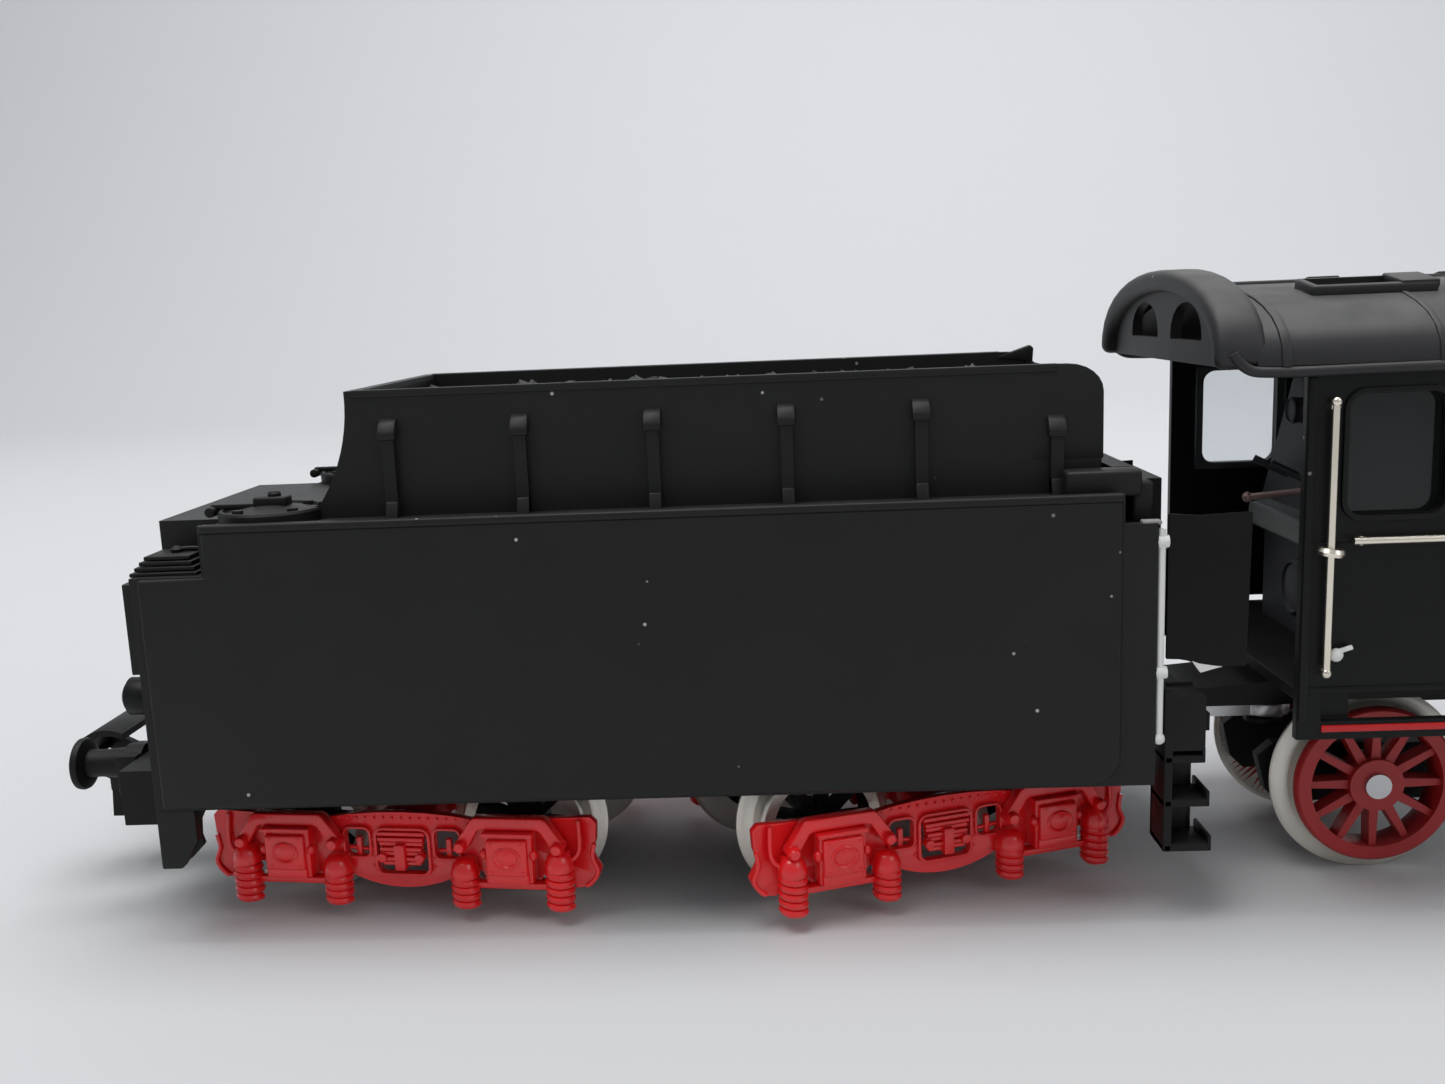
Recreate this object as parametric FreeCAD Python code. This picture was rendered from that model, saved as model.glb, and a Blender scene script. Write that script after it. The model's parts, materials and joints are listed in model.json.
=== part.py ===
# Model express steam locomotive (4-6-2) with a bogie tender, H0 scale, in millimetres.
# x runs forward, y to the left and z up; z = 0 is where the wheel flanges rest.
import FreeCAD, Part
import math
import os

V = FreeCAD.Vector

# ---- driving sizes -------------------------------------------------------------------------
# fits
run_gap = 0.05            # radial room of axles, pins and pivots in their holes
face_gap = 0.40           # room between pieces that move past each other
seat_gap = 0.05           # room round pieces that are seated in one another

# wheels
back_to_back = 14.0
wheel_width = 3.0
flange_depth = 1.3
tender_wheel_r = 5.75
driver_r = 11.5
trailing_r = 7.0
lead_r = 5.75
crank_r = 3.8

# tender
tank_len = 79.4
tank_w = 35.9
tank_z = 11.9
deck_z = 35.3
wall = 1.1
notch_len = 6.0
notch_drop = 3.7         # how far the rear notch lies below the deck
notch_z = deck_z - notch_drop
deck_mid_w = 23.0
bunker_w = 27.2
bunker_rise = 10.4
bunker_z = deck_z + bunker_rise
bunker_foot = 13.7        # where the curved rear wall of the bunker meets the deck
bunker_back = 17.4
rib_first = 20.9
rib_pitch = 10.8
rib_count = 6
floor_z = 15.0
floor_t = 1.5
bogie_rear_x = 20.5
bogie_front_x = tank_len - 17.8
bogie_half_base = 10.0
bogie_rear_yaw = -7.1     # rest angles of the two tender bogies
bogie_front_yaw = 18.9
buffer_y = 10.1
buffer_z = 13.6
bar_pin_x = tank_len + 3.8  # drawbar pin under the tender's front plate

# engine, measured from the rear edge of the cab
engine_x = tank_len + 13.7
cab_len = 27.9
fire_half = 11.4
cab_w = 35.8
cab_z = 44.4
roof_ridge = 52.9
roof_back = -7.0
boiler_r = 11.5
boiler_z = 36.9
boiler_end = 143.0
board_z = 27.2
board_t = 0.8
board_half = 17.4
frame_half = 5.25
trailing_x = 10.2
driver_xs = [52.7, 79.7, 106.7]
lead_x = boiler_end - 2.95
lead_half_base = 12.65
truck_pivot_x = 37.9
engine_pin_x = 3.9
beam_x = boiler_end + 18.3
slope_x = boiler_end + 6.5  # where the running boards start to slope down at the front
fire_end = 41.0
main_rod_len = 42.0
cyl_y = 14.3
cyl_r = 3.4
cyl_back = boiler_end - 10.0
cyl_len = 14.0
right_crank_deg = -50.0
left_crank_deg = 40.0

# gears
gear_module = 0.5
axle_teeth = 28
idler_teeth = 32
pinion_teeth = 10
gear_t = 2.0
motor_r = 6.0
motor_end = 8.1

half_w = tank_w / 2
cab_half = cab_w / 2
wheel_in = back_to_back / 2
wheel_out = wheel_in + wheel_width
tender_axle_z = tender_wheel_r + flange_depth
driver_z = driver_r + flange_depth
trailing_z = trailing_r + flange_depth
lead_z = lead_r + flange_depth


# ---- small helpers -------------------------------------------------------------------------
def box(x0, x1, y0, y1, z0, z1):
    return Part.makeBox(x1 - x0, y1 - y0, z1 - z0, V(x0, y0, z0))


def rod_x(y, z, r, x0, x1):
    return Part.makeCylinder(r, x1 - x0, V(x0, y, z), V(1, 0, 0))


def rod_y(x, z, r, y0, y1):
    return Part.makeCylinder(r, y1 - y0, V(x, y0, z), V(0, 1, 0))


def rod_z(x, y, r, z0, z1):
    return Part.makeCylinder(r, z1 - z0, V(x, y, z0), V(0, 0, 1))


def rod_between(a, b, r):
    a, b = V(*a), V(*b)
    return Part.makeCylinder(r, (b - a).Length, a, b - a)


# A closed outline: (a, b) is a corner, (ma, mb, a, b) is an arc through the first point.
def plate(steps, plane, lo, hi):
    spot = {"xz": lambda a, b: V(a, lo, b), "xy": lambda a, b: V(a, b, lo),
            "yz": lambda a, b: V(lo, a, b)}[plane]
    along = {"xz": V(0, hi - lo, 0), "xy": V(0, 0, hi - lo), "yz": V(hi - lo, 0, 0)}[plane]
    start = spot(*steps[0])
    here, edges = start, []
    for step in steps[1:]:
        there = spot(*step[-2:])
        if len(step) == 4:
            edges.append(Part.Arc(here, spot(*step[:2]), there).toShape())
        else:
            edges.append(Part.makeLine(here, there))
        here = there
    if (here - start).Length > 1e-6:
        edges.append(Part.makeLine(here, start))
    return Part.Face(Part.Wire(edges)).extrude(along)


def join(shapes):
    first = shapes[0]
    if len(shapes) > 1:
        first = first.fuse(shapes[1:]).removeSplitter()
    return first


def flip_y(shape):
    return shape.mirror(V(0, 0, 0), V(0, 1, 0))


def both(shapes):
    return list(shapes) + [flip_y(s) for s in shapes]


def moved(shape, x=0.0, y=0.0, z=0.0, yaw=0.0):
    copy = shape.copy()
    if yaw:
        copy.rotate(V(0, 0, 0), V(0, 0, 1), yaw)
    copy.translate(V(x, y, z))
    return copy


def rounded(x0, x1, y0, y1, z0, z1, r, axis):
    body = box(x0, x1, y0, y1, z0, z1)
    along = {"x": V(1, 0, 0), "y": V(0, 1, 0), "z": V(0, 0, 1)}[axis]
    edges = [e for e in body.Edges
             if abs(e.tangentAt(e.FirstParameter).dot(along)) > 0.99]
    return body.makeFillet(r, edges)


# ---- wheels --------------------------------------------------------------------------------
# One wheel on the +y side of the axle, centred on x = 0, z = 0.
def wheel(tread, spokes, hub_r, rim_t):
    flange = tread + flange_depth
    profile = [(tread - rim_t, wheel_in), (flange - 0.35, wheel_in), (flange, wheel_in + 0.35),
               (flange, wheel_in + 0.6), (tread + 0.25, wheel_in + 0.95),
               (tread, wheel_in + 1.2), (tread - 0.12, wheel_out - 0.25),
               (tread - 0.35, wheel_out), (tread - rim_t, wheel_out)]
    points = [V(r, y, 0) for r, y in profile]
    rim = Part.Face(Part.makePolygon(points + points[:1])).revolve(V(0, 0, 0), V(0, 1, 0), 360)
    parts = [rim, rod_y(0, 0, hub_r, wheel_in, wheel_out)]
    reach = tread - rim_t + 0.3
    for i in range(spokes):
        spoke = plate([(hub_r - 0.5, -0.42), (reach, -0.28), (reach, 0.28), (hub_r - 0.5, 0.42)],
                      "xz", wheel_in + 0.9, wheel_out - 0.5)
        spoke.rotate(V(0, 0, 0), V(0, 1, 0), 360.0 * i / spokes)
        parts.append(spoke)
    return join(parts)


def wheelset(tread, spokes, hub_r, rim_t, axle_r, axle_half, extra=()):
    one = wheel(tread, spokes, hub_r, rim_t)
    return join([one, flip_y(one), rod_y(0, 0, axle_r, -axle_half, axle_half)] + list(extra))


# ---- tender --------------------------------------------------------------------------------
def tender_shell():
    body = box(0, tank_len, -half_w, half_w, tank_z, deck_z)
    body = body.cut(box(wall, tank_len - wall, -half_w + wall, half_w - wall,
                        tank_z - 1, deck_z - wall))
    mid = deck_mid_w / 2
    body = join([body] + both([box(0, notch_len + wall, mid - wall, half_w,
                                   notch_z - wall, deck_z)]))
    for cut in both([box(-1, notch_len, mid, half_w + 1, notch_z, deck_z + 1)]):
        body = body.cut(cut)
    body = body.cut(box(tank_len - wall - 1, tank_len + 1, -half_w + wall, half_w - wall,
                        tank_z - 1, floor_z + floor_t + seat_gap))
    outside = [(bunker_foot, deck_z), (bunker_back - 1.1, deck_z + 4.2, bunker_back, bunker_z),
               (tank_len - 4.3, bunker_z), (tank_len - 1.8, bunker_z - 1.0,
                                            tank_len - 0.8, bunker_z - 3.5),
               (tank_len - 0.8, deck_z)]
    inside = [(bunker_foot + wall, deck_z),
              (bunker_back - 0.1, deck_z + 4.2, bunker_back + 1, bunker_z + 1),
              (tank_len - 1.9, bunker_z + 1), (tank_len - 1.9, deck_z)]
    half = bunker_w / 2
    bunker = plate(outside, "xz", -half, half).cut(plate(inside, "xz", -half + 1, half - 1))
    ribs = []
    for i in range(rib_count):
        x = rib_first + i * rib_pitch
        top = bunker_z - (2.4 if i < rib_count - 1 else 4.1)
        ribs.append(plate([(half - 0.1, deck_z), (half + 0.8, deck_z), (half + 0.8, top - 1.2),
                           (half - 0.1, top)], "yz", x - 0.5, x + 0.5))
    lips = [box(notch_len, tank_len, half_w - 0.6, half_w, deck_z - 0.1, deck_z + 0.4),
            box(tank_len - 0.1, tank_len + 2.6, half_w - 0.9, half_w, tank_z, deck_z - 2.0)]
    return join([body, bunker] + both(ribs) + both(lips))


def coal_load():
    half = bunker_w / 2 - 1 - seat_gap
    x0, x1 = bunker_back + 1.2, tank_len - 1.9 - seat_gap
    return plate([(-half, deck_z), (half, deck_z), (half, bunker_z - 3.0),
                  (half - 4, bunker_z - 1.7), (0, bunker_z - 1.1), (4 - half, bunker_z - 1.7),
                  (-half, bunker_z - 3.0)], "yz", x0, x1)


def tender_chassis():
    inner = half_w - wall - seat_gap
    top = floor_z + floor_t
    parts = [box(wall + 0.4, tank_len - wall - 0.4, -inner, inner, floor_z, top),
             box(tank_len - wall - 1, bar_pin_x + 4.4, 2.9 - inner, inner - 2.9, floor_z, top),
             box(-4.0, -seat_gap, -15.5, 15.5, 9.8, 14.6)]
    parts += both([box(-4.0, 3.0, 9.5, 14.0, 10.4, 11.7), box(1.5, 3.0, 9.5, 14.0, 10.4, 15.2)])
    for x in (bogie_rear_x, bogie_front_x):
        parts.append(rod_z(x, 0, 4.5, 9.4, floor_z + 0.2))
    parts.append(rod_z(-2.2, 0, 0.9, 7.3, 10.0))
    parts.append(rod_z(-2.2, 0, 1.8, 6.9, 7.5))
    parts.append(rod_z(bar_pin_x, 0, 1.0, 11.3, floor_z + 0.2))
    parts.append(rod_z(bar_pin_x, 0, 1.7, 11.2, 11.8))
    body = join(parts)
    for x in (bogie_rear_x, bogie_front_x):
        body = body.cut(rod_z(x, 0, 1.2, 9.0, top + 1))
    return body


def pivot_screws():
    parts = []
    for x in (bogie_rear_x, bogie_front_x):
        parts.append(rod_z(x, 0, 1.2 - 0.01, 6.0, floor_z + floor_t)
                     .fuse(rod_z(x, 0, 2.3, 5.6, 6.6)).removeSplitter())
    return Part.makeCompound(parts)


def tender_weight():
    return box(12, tank_len - 12, -13.5, 13.5, floor_z + floor_t, floor_z + floor_t + 8)


def front_lockers():
    x = tank_len
    z = floor_z + floor_t
    return join([box(x, x + 1.7, -13.5, 13.5, z, deck_z + 2.0),
                 box(x + 1.6, x + 6.6, -4.6, 4.6, z, deck_z - 0.3),
                 rod_x(2.6, 28.0, 0.5, x + 6.5, x + 7.2)])


def front_steps():
    x0, x1 = bar_pin_x - 0.5, bar_pin_x + 3.5
    y0, y1 = half_w - wall - 2.9, half_w
    cheeks = [plate([(a, 6.1), (a, 19.7), (a + 0.5, 19.7), (a + 0.5, 6.1)], "xz", y0, y1)
              for a in (x0, x1 - 0.5)]
    treads = [box(x0, x1, y0, y1, z - 0.5, z) for z in (6.6, 10.6, 15.4)]
    back = box(x0, x1, y0, y0 + 0.5, 6.1, 19.7)
    return Part.makeCompound(both([join(cheeks + treads + [back])]))


def front_handrails():
    x, y = tank_len + 2.95, half_w - 0.35
    rail = join([rod_z(x, y, 0.3, 15.6, deck_z - 2.5)] + [rod_x(y, z, 0.5, x - 0.32, x + 0.5)
                                                  for z in (21.2, deck_z - 3.5)])
    return Part.makeCompound(both([rail]))


def fall_plates():
    x = tank_len + 3.9
    flap = plate([(x, 21.5), (x + 6.0, 21.5), (x + 6.0, deck_z - 1.4), (x, deck_z - 1.4)],
                 "xz", half_w - 0.8, half_w - 0.3)
    lug = box(tank_len + 1.6, x + 0.1, half_w - 1.8, half_w - 0.95, 24.0, deck_z - 4.3)
    lug = lug.fuse(box(x - 0.3, x + 0.6, half_w - 1.0, half_w - 0.7, 24.0, deck_z - 4.3))
    return Part.makeCompound(both([join([flap, lug])]))


def buffer_pair(x, way):
    shank = rod_x(buffer_y, buffer_z, 1.7, 0, 5.2)
    base = box(0, 0.7, buffer_y - 2.3, buffer_y + 2.3, buffer_z - 2.3, buffer_z + 1.6)
    head = rod_x(buffer_y, buffer_z, 2.65, 5.1, 7.3)
    head = head.makeFillet(0.9, [e for e in head.Edges if abs(e.CenterOfMass.x - 7.3) < 0.01])
    one = join([shank, base, head])
    if way < 0:
        one = one.mirror(V(0, 0, 0), V(1, 0, 0))
    return Part.makeCompound([moved(s, x=x) for s in both([one])])


def rear_fittings():
    box_plate = box(-1.0, 0, 11.8, 17.2, 23.4, notch_z - 0.6)
    corner = plate([(0, 6.8), (1.7, 6.8), (3.2, 9.2), (3.2, tank_z), (0, tank_z)],
                   "xz", half_w - 0.9, half_w)
    return Part.makeCompound(both([box_plate, corner]))


def rear_lamps():
    lamp = join([rod_x(14.8, 21.0, 1.6, -2.4, 0), rod_x(14.8, 21.0, 1.2, -2.7, -2.3)])
    return Part.makeCompound(both([lamp]))


def filler_lids():
    x, y, r = 10.4, 13.0, 4.3
    bunker = bunker_w / 2 + seat_gap
    lid = join([rod_z(x, y, r, deck_z, deck_z + 1.2), rod_z(x, y, r - 0.7, deck_z + 1.1, deck_z + 1.7),
                box(x - 1.4, x + 1.4, y - 0.9, y + 0.9, deck_z + 1.6, deck_z + 2.5),
                rod_between((x - 1, y, deck_z + 2.1), (x - 5.0, y, deck_z + 0.9), 0.35)])
    lid = lid.cut(box(bunker_foot - seat_gap, tank_len, -bunker, bunker, deck_z - 1, deck_z + 9))
    return Part.makeCompound(both([lid]))


def rear_hatches():
    hatch = [box(0.4, 4.4, 12.3, 15.9, notch_z, notch_z + 0.7)]
    hatch += [box(0.6, 4.2, 12.7 + 0.9 * i, 13.1 + 0.9 * i, notch_z + 0.6, notch_z + 1.0)
              for i in range(4)]
    return Part.makeCompound(both([join(hatch)]))


# One tender bogie frame about its own pivot, before it is turned to its rest angle.
def bogie_frame():
    y0, y1 = 12.3, 13.4
    side = plate([(-17.4, 9.1), (0, 9.4, 17.4, 9.1), (17.7, 4.8), (16.8, 3.1), (15.4, 2.9),
                  (14.8, 4.6), (12.9, 4.6), (12.2, 3.6), (7.8, 3.6), (7.0, 4.6), (5.0, 4.0),
                  (0, 2.3, -5.0, 4.0), (-7.0, 4.6), (-7.8, 3.6), (-12.2, 3.6), (-12.9, 4.6),
                  (-14.8, 4.6), (-15.4, 2.9), (-16.8, 3.1), (-17.7, 4.8)], "xz", y0, y1)
    side = side.cut(box(-2.3, 2.3, y0 - 1, y1 + 1, 3.8, 7.7))
    for s in (-1, 1):
        hole = [(s * 2.9, 7.6), (s * 4.2, 7.6), (s * 4.4, 5.4), (s * 2.9, 4.6)]
        side = side.cut(plate(hole, "xz", y0 - 1, y1 + 1))
    parts = [side]
    leaves = [box(-2.2 + 0.28 * i, 2.2 - 0.28 * i, y0 + 0.2, y1 + 0.5, 7.0 - 0.5 * i, 7.4 - 0.5 * i)
              for i in range(6)]
    parts += [join(leaves + [box(-0.5, 0.5, y0 + 0.2, y1 + 0.7, 4.0, 7.9)])]
    for s in (-1, 1):
        u = s * bogie_half_base
        parts.append(box(u - 2.1, u + 2.1, y0, 15.1, 3.8, 8.2))
        arch = [(u - 4.7, 6.6), (u - 3.1, 9.5), (u + 3.1, 9.5), (u + 4.7, 6.6), (u + 3.6, 6.6),
                (u + 2.5, 8.6), (u - 2.5, 8.6), (u - 3.6, 6.6)]
        parts.append(plate(arch, "xz", y1 - 0.1, 14.6))
        for off in (-4.2, 4.2):
            parts.append(rod_z(u + off, 13.7, 1.25, 1.5, 6.8))
            parts.append(rod_z(u + off, 13.7, 1.5, 1.3, 1.8))
            parts.append(rod_y(u + off, 7.2, 0.6, y1 - 0.1, 14.9))
        parts.append(box(min(s * 16.9, s * 17.6), max(s * 16.9, s * 17.6), -0.05, y0 + 0.1, 3.2, 4.4))
    hole = rod_y(-bogie_half_base, tender_axle_z, 0.75 + run_gap, y0 - 1, 14.3)
    hole = hole.fuse(rod_y(bogie_half_base, tender_axle_z, 0.75 + run_gap, y0 - 1, 14.3))
    one = join(parts).cut(hole)
    middle = [box(-2.4, 2.4, -y0 - 0.1, y0 + 0.1, 7.0, 9.0), rod_z(0, 0, 5.0, 7.0, 9.0)]
    return join([one, flip_y(one)] + middle).cut(rod_z(0, 0, 1.2 + run_gap, 6, 10))


def tender_wheelset():
    return wheelset(tender_wheel_r, 9, 1.7, 1.3, 0.75, 14.0)


def coupler_shank():
    body = plate([(-12.4, -1.3), (-12.4, 1.3), (-9.0, 1.95), (-2.2, 1.95), (-0.5, 0, -2.2, -1.95),
                  (-9.0, -1.95)], "xy", 7.9, 9.3)
    hook = plate([(-12.4, 8.0), (-12.6, 5.2), (-11.1, 5.2), (-10.9, 8.0)], "xz", -1.1, 1.1)
    body = join([body, hook]).cut(rod_z(-2.2, 0, 0.9 + run_gap, 7, 10))
    return body.cut(rod_y(-7.5, 8.6, 0.4 + run_gap, -3, 3))


def coupler_loop():
    arm = plate([(-6.7, 8.0), (-6.7, 9.3), (-8.0, 9.5), (-13.3, 12.4), (-14.5, 12.0), (-14.4, 11.2),
                 (-8.2, 8.0)], "xz", 2.3, 3.1)
    strap = plate([(-14.5, 11.8), (-13.2, 13.9, -9.3, 14.3), (-9.3, 13.7),
                   (-12.7, 13.4, -13.7, 11.6)], "xz", -4.0, 4.0)
    bar = box(-14.5, -13.6, -4.0, 4.0, 11.2, 12.0)
    return join([rod_y(-7.5, 8.6, 0.4, -2.5, 2.5), bar, strap] + both([arm]))


def drawbar():
    a, b = bar_pin_x, engine_x + engine_pin_x
    body = join([box(a, b, -1.6, 1.6, 12.2, 13.4), rod_z(a, 0, 2.3, 12.2, 13.4),
                 rod_z(b, 0, 2.3, 12.2, 13.4)])
    for x in (a, b):
        body = body.cut(rod_z(x, 0, 1.0 + run_gap, 12, 14))
    return body


# ---- engine, all measured from the rear edge of the cab ------------------------------------
def gear(teeth, bore):
    pitch = gear_module * teeth / 2
    tip, root = pitch + 0.7 * gear_module, pitch - 1.1 * gear_module
    points, step = [], 2 * math.pi / teeth
    for i in range(teeth):
        for part, r in ((-0.24, root), (-0.095, tip), (0.095, tip), (0.24, root)):
            a = (i + part) * step
            points.append(V(r * math.cos(a), -gear_t / 2, r * math.sin(a)))
    face = Part.Face(Part.makePolygon(points + points[:1]))
    body = face.extrude(V(0, gear_t, 0))
    return body.cut(rod_y(0, 0, bore, -gear_t, gear_t)) if bore else body


def turned(shape, degrees):
    copy = shape.copy()
    copy.rotate(V(0, 0, 0), V(0, 1, 0), -degrees)
    return copy


# The two upper gears lean back so that the motor shaft comes out at the height of the boiler.
reach_low = gear_module * (axle_teeth + idler_teeth) / 2
reach_high = gear_module * (idler_teeth + pinion_teeth) / 2
lean_low = 95.0
idler_x = driver_xs[0] + reach_low * math.cos(math.radians(lean_low))
idler_z = driver_z + reach_low * math.sin(math.radians(lean_low))
lean_high = 119.3
motor_x = idler_x + reach_high * math.cos(math.radians(lean_high))
motor_z = idler_z + reach_high * math.sin(math.radians(lean_high))


def driver_angles():
    # a tooth of the axle gear points at the idler, which shows it a gap there
    low = lean_low
    gap_to_axle = lean_low + 180
    idler = gap_to_axle + 180.0 / idler_teeth
    # the idler's tooth nearest the pinion decides where the pinion's gap goes
    step = 360.0 / idler_teeth
    miss = (lean_high - idler) % step
    pinion = lean_high + 180 + 180.0 / pinion_teeth + miss * idler_teeth / pinion_teeth
    return low, idler, pinion


def driver(main, with_gear):
    pin_end = 13.7 if main else 12.0
    extra = []
    for side, angle in ((-1, right_crank_deg), (1, left_crank_deg)):
        a = math.radians(angle)
        x, z = crank_r * math.cos(a), crank_r * math.sin(a)
        y0, y1 = wheel_out - 0.6, pin_end
        cap0 = pin_end - 0.35
        pieces = [rod_y(x, z, 0.65, y0, y1), rod_y(x, z, 1.0, cap0, y1),
                  rod_y(x, z, 1.5, wheel_out - 1.6, wheel_out),
                  plate([(-2.2, 0), (0, 2.2, 2.2, 0), (0, -2.2, -2.2, 0)], "xz",
                        wheel_in + 0.6, wheel_out)]
        weight = plate([(-9.6, -3.2), (-10.2, 0, -9.6, 3.2), (-6.6, 3.6), (-6.0, 0, -6.6, -3.6)],
                       "xz", wheel_in + 0.6, wheel_out - 0.2)
        pieces.append(turned(weight, angle))
        extra += [flip_y(p) if side < 0 else p for p in pieces]
    if with_gear:
        extra.append(turned(gear(axle_teeth, 0), driver_angles()[0]))
    return wheelset(driver_r, 16, 2.2, 1.5, 1.5, wheel_out - 0.1, extra)


def pin_spot(axle_x, side):
    a = math.radians(right_crank_deg if side < 0 else left_crank_deg)
    return axle_x + crank_r * math.cos(a), driver_z + crank_r * math.sin(a)


def coupling_rod(side):
    y0, y1 = wheel_out + face_gap, wheel_out + face_gap + 0.8
    spots = [pin_spot(x, side) for x in driver_xs]
    z = spots[0][1]
    parts = [box(spots[0][0], spots[2][0], y0, y1, z - 0.7, z + 0.7)]
    parts += [rod_y(x, z, 1.45, y0, y1) for x, _ in spots]
    body = join(parts)
    for x, _ in spots:
        body = body.cut(rod_y(x, z, 0.65 + run_gap, y0 - 1, y1 + 1))
    return body if side > 0 else flip_y(body)


def wrist_x(side):
    x, z = pin_spot(driver_xs[1], side)
    return x + math.sqrt(main_rod_len ** 2 - (z - driver_z) ** 2)


def main_rod(side):
    y0 = wheel_out + 2.1
    y1 = y0 + 0.9
    x, z = pin_spot(driver_xs[1], side)
    wx = wrist_x(side)
    tilt = math.degrees(math.atan2(driver_z - z, wx - x))
    body = join([plate([(0, -0.85), (main_rod_len, -0.6), (main_rod_len, 0.6), (0, 0.85)],
                       "xz", y0, y1), rod_y(0, 0, 1.6, y0, y1), rod_y(main_rod_len, 0, 1.2, y0, y1)])
    body = body.cut(rod_y(0, 0, 0.65 + run_gap, y0 - 1, y1 + 1))
    body = body.cut(rod_y(main_rod_len, 0, 0.5, y0 - 1, y1 + 1))
    body = moved(turned(body, tilt), x=x, z=z)
    return body if side > 0 else flip_y(body)


def crosshead(side):
    x = wrist_x(side)
    block = box(x - 2.4, x + 2.4, cyl_y - 0.8, cyl_y + 0.9, driver_z - 1.5, driver_z + 1.5)
    body = join([block, rod_x(cyl_y, driver_z, 0.6, x + 2.3, cyl_back + 8.0)])
    return body if side > 0 else flip_y(body)


def slide_bars():
    z = driver_z
    bars = [box(112.6, cyl_back, cyl_y - 0.8, cyl_y + 0.9, a, b)
            for a, b in ((z + 1.5 + face_gap, z + 2.6), (z - 2.6, z - 1.5 - face_gap))]
    hanger = box(111.8, 112.8, cyl_y - 0.8, cyl_y + 0.9, z - 2.6, board_z)
    return Part.makeCompound(both([join(bars + [hanger])]))


def cylinder_block():
    x0, x1 = cyl_back, cyl_back + cyl_len
    y1 = cyl_y + 2.6
    parts = [box(x0 + 0.8, x1 - 0.8, -cyl_y, cyl_y, 15.4, 24.6)]
    one = [rod_x(cyl_y, driver_z, cyl_r, x0 + seat_gap, x1),
           rod_x(cyl_y, driver_z, 1.3, x1 - 0.1, x1 + 0.7),
           rod_x(cyl_y - 0.6, 20.2, 2.5, x0 - 1.6, x1 + 1.6),
           box(x0 + 0.8, x1 - 0.8, cyl_y - 2.0, y1, driver_z, 20.2)]
    body = join(parts + both(one))
    for cut in both([rod_x(cyl_y, driver_z, 0.6 + run_gap, x0 - 1, x0 + 10.5)]):
        body = body.cut(cut)
    cradle = box(x0 + 1.5, x1 - 1.5, -6.5, 6.5, 24.5, 31.0)
    body = body.cut(box(x0 - 3, x1 + 3, -frame_half - seat_gap, frame_half + seat_gap, 15.3, 25.05))
    return join([body, cradle]).cut(rod_x(0, boiler_z, boiler_r + 0.02, x0, x1)) \
        .cut(box(x0 - 3, x1 + 3, -frame_half - seat_gap, frame_half + seat_gap, 15.3, 25.05))


def engine_frame():
    back = fire_end + 1.0
    side = [(back, 17.0), (back + 1.0, 9.6), (cyl_back - 15.0, 9.6), (cyl_back - 13.0, 16.8),
            (beam_x, 16.8),
            (beam_x, 19.3), (slope_x + 4.5, 19.3), (slope_x - 2.5, 25.0), (back, 25.0)]
    body = plate(side, "xz", -frame_half, frame_half)
    tail = plate([(-4.4, 14.0), (back + 0.8, 14.0), (back + 0.8, 19.2), (-4.4, 15.6)],
                 "xz", -4.2, 4.2)
    gear_tower = box(idler_x - 3.4, idler_x + 3.4, -4.5, 4.5, 24.9, idler_z + 2.0)
    parts = [body, tail, gear_tower,
             rod_z(truck_pivot_x, 0, 2.5, 10.8, 14.1), rod_z(truck_pivot_x, 0, 1.3, 7.6, 11.0),
             rod_z(truck_pivot_x, 0, 2.2, 7.4, 8.1),
             rod_z(engine_pin_x, 0, 1.0, 11.4, 14.1), rod_z(engine_pin_x, 0, 1.7, 11.3, 11.8),
             rod_z(lead_x, 0, 3.0, 12.0, 16.9), rod_z(lead_x, 0, 1.6, 9.4, 12.1),
             rod_z(lead_x, 0, 2.6, 9.2, 9.8)]
    body = join(parts)
    for x in driver_xs:
        body = body.cut(rod_y(x, driver_z, 1.5 + run_gap, -8, 8))
    low = gear_module * axle_teeth / 2 + 1.0
    high = gear_module * idler_teeth / 2 + 1.0
    slot = gear_t / 2 + face_gap
    body = body.cut(box(min(driver_xs[0] - low, idler_x - high), max(driver_xs[0] + low, idler_x + high),
                        -slot, slot, 5, 40))
    return body.cut(rod_y(idler_x, idler_z, 0.8 + run_gap, -8, 8))


def idler_gear():
    body = join([turned(gear(idler_teeth, 0), driver_angles()[1]), rod_y(0, 0, 0.8, -4.3, 4.3)])
    return moved(body, x=idler_x, z=idler_z)


def motor_armature():
    body = join([turned(gear(pinion_teeth, 0), driver_angles()[2]), rod_y(0, 0, 0.8, -3.4, 8.0),
                 rod_y(0, 0, 4.5, 2.4, 7.1)])
    return moved(body, x=motor_x, z=motor_z)


def motor_housing():
    cup = rod_y(0, 0, motor_r, 1.9, motor_end).cut(rod_y(0, 0, 4.9, 1.0, 7.5))
    far = join([rod_y(0, 0, 3.2, -3.6, -2.2), box(-6.2, -2.0, -3.6, -2.2, -2.6, 2.6),
                box(-6.2, -4.9, -3.6, 2.2, -2.6, 2.6)])
    body = join([cup, far]).cut(rod_y(0, 0, 0.8 + run_gap, -10, 10))
    return moved(body, x=motor_x, z=motor_z)


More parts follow.
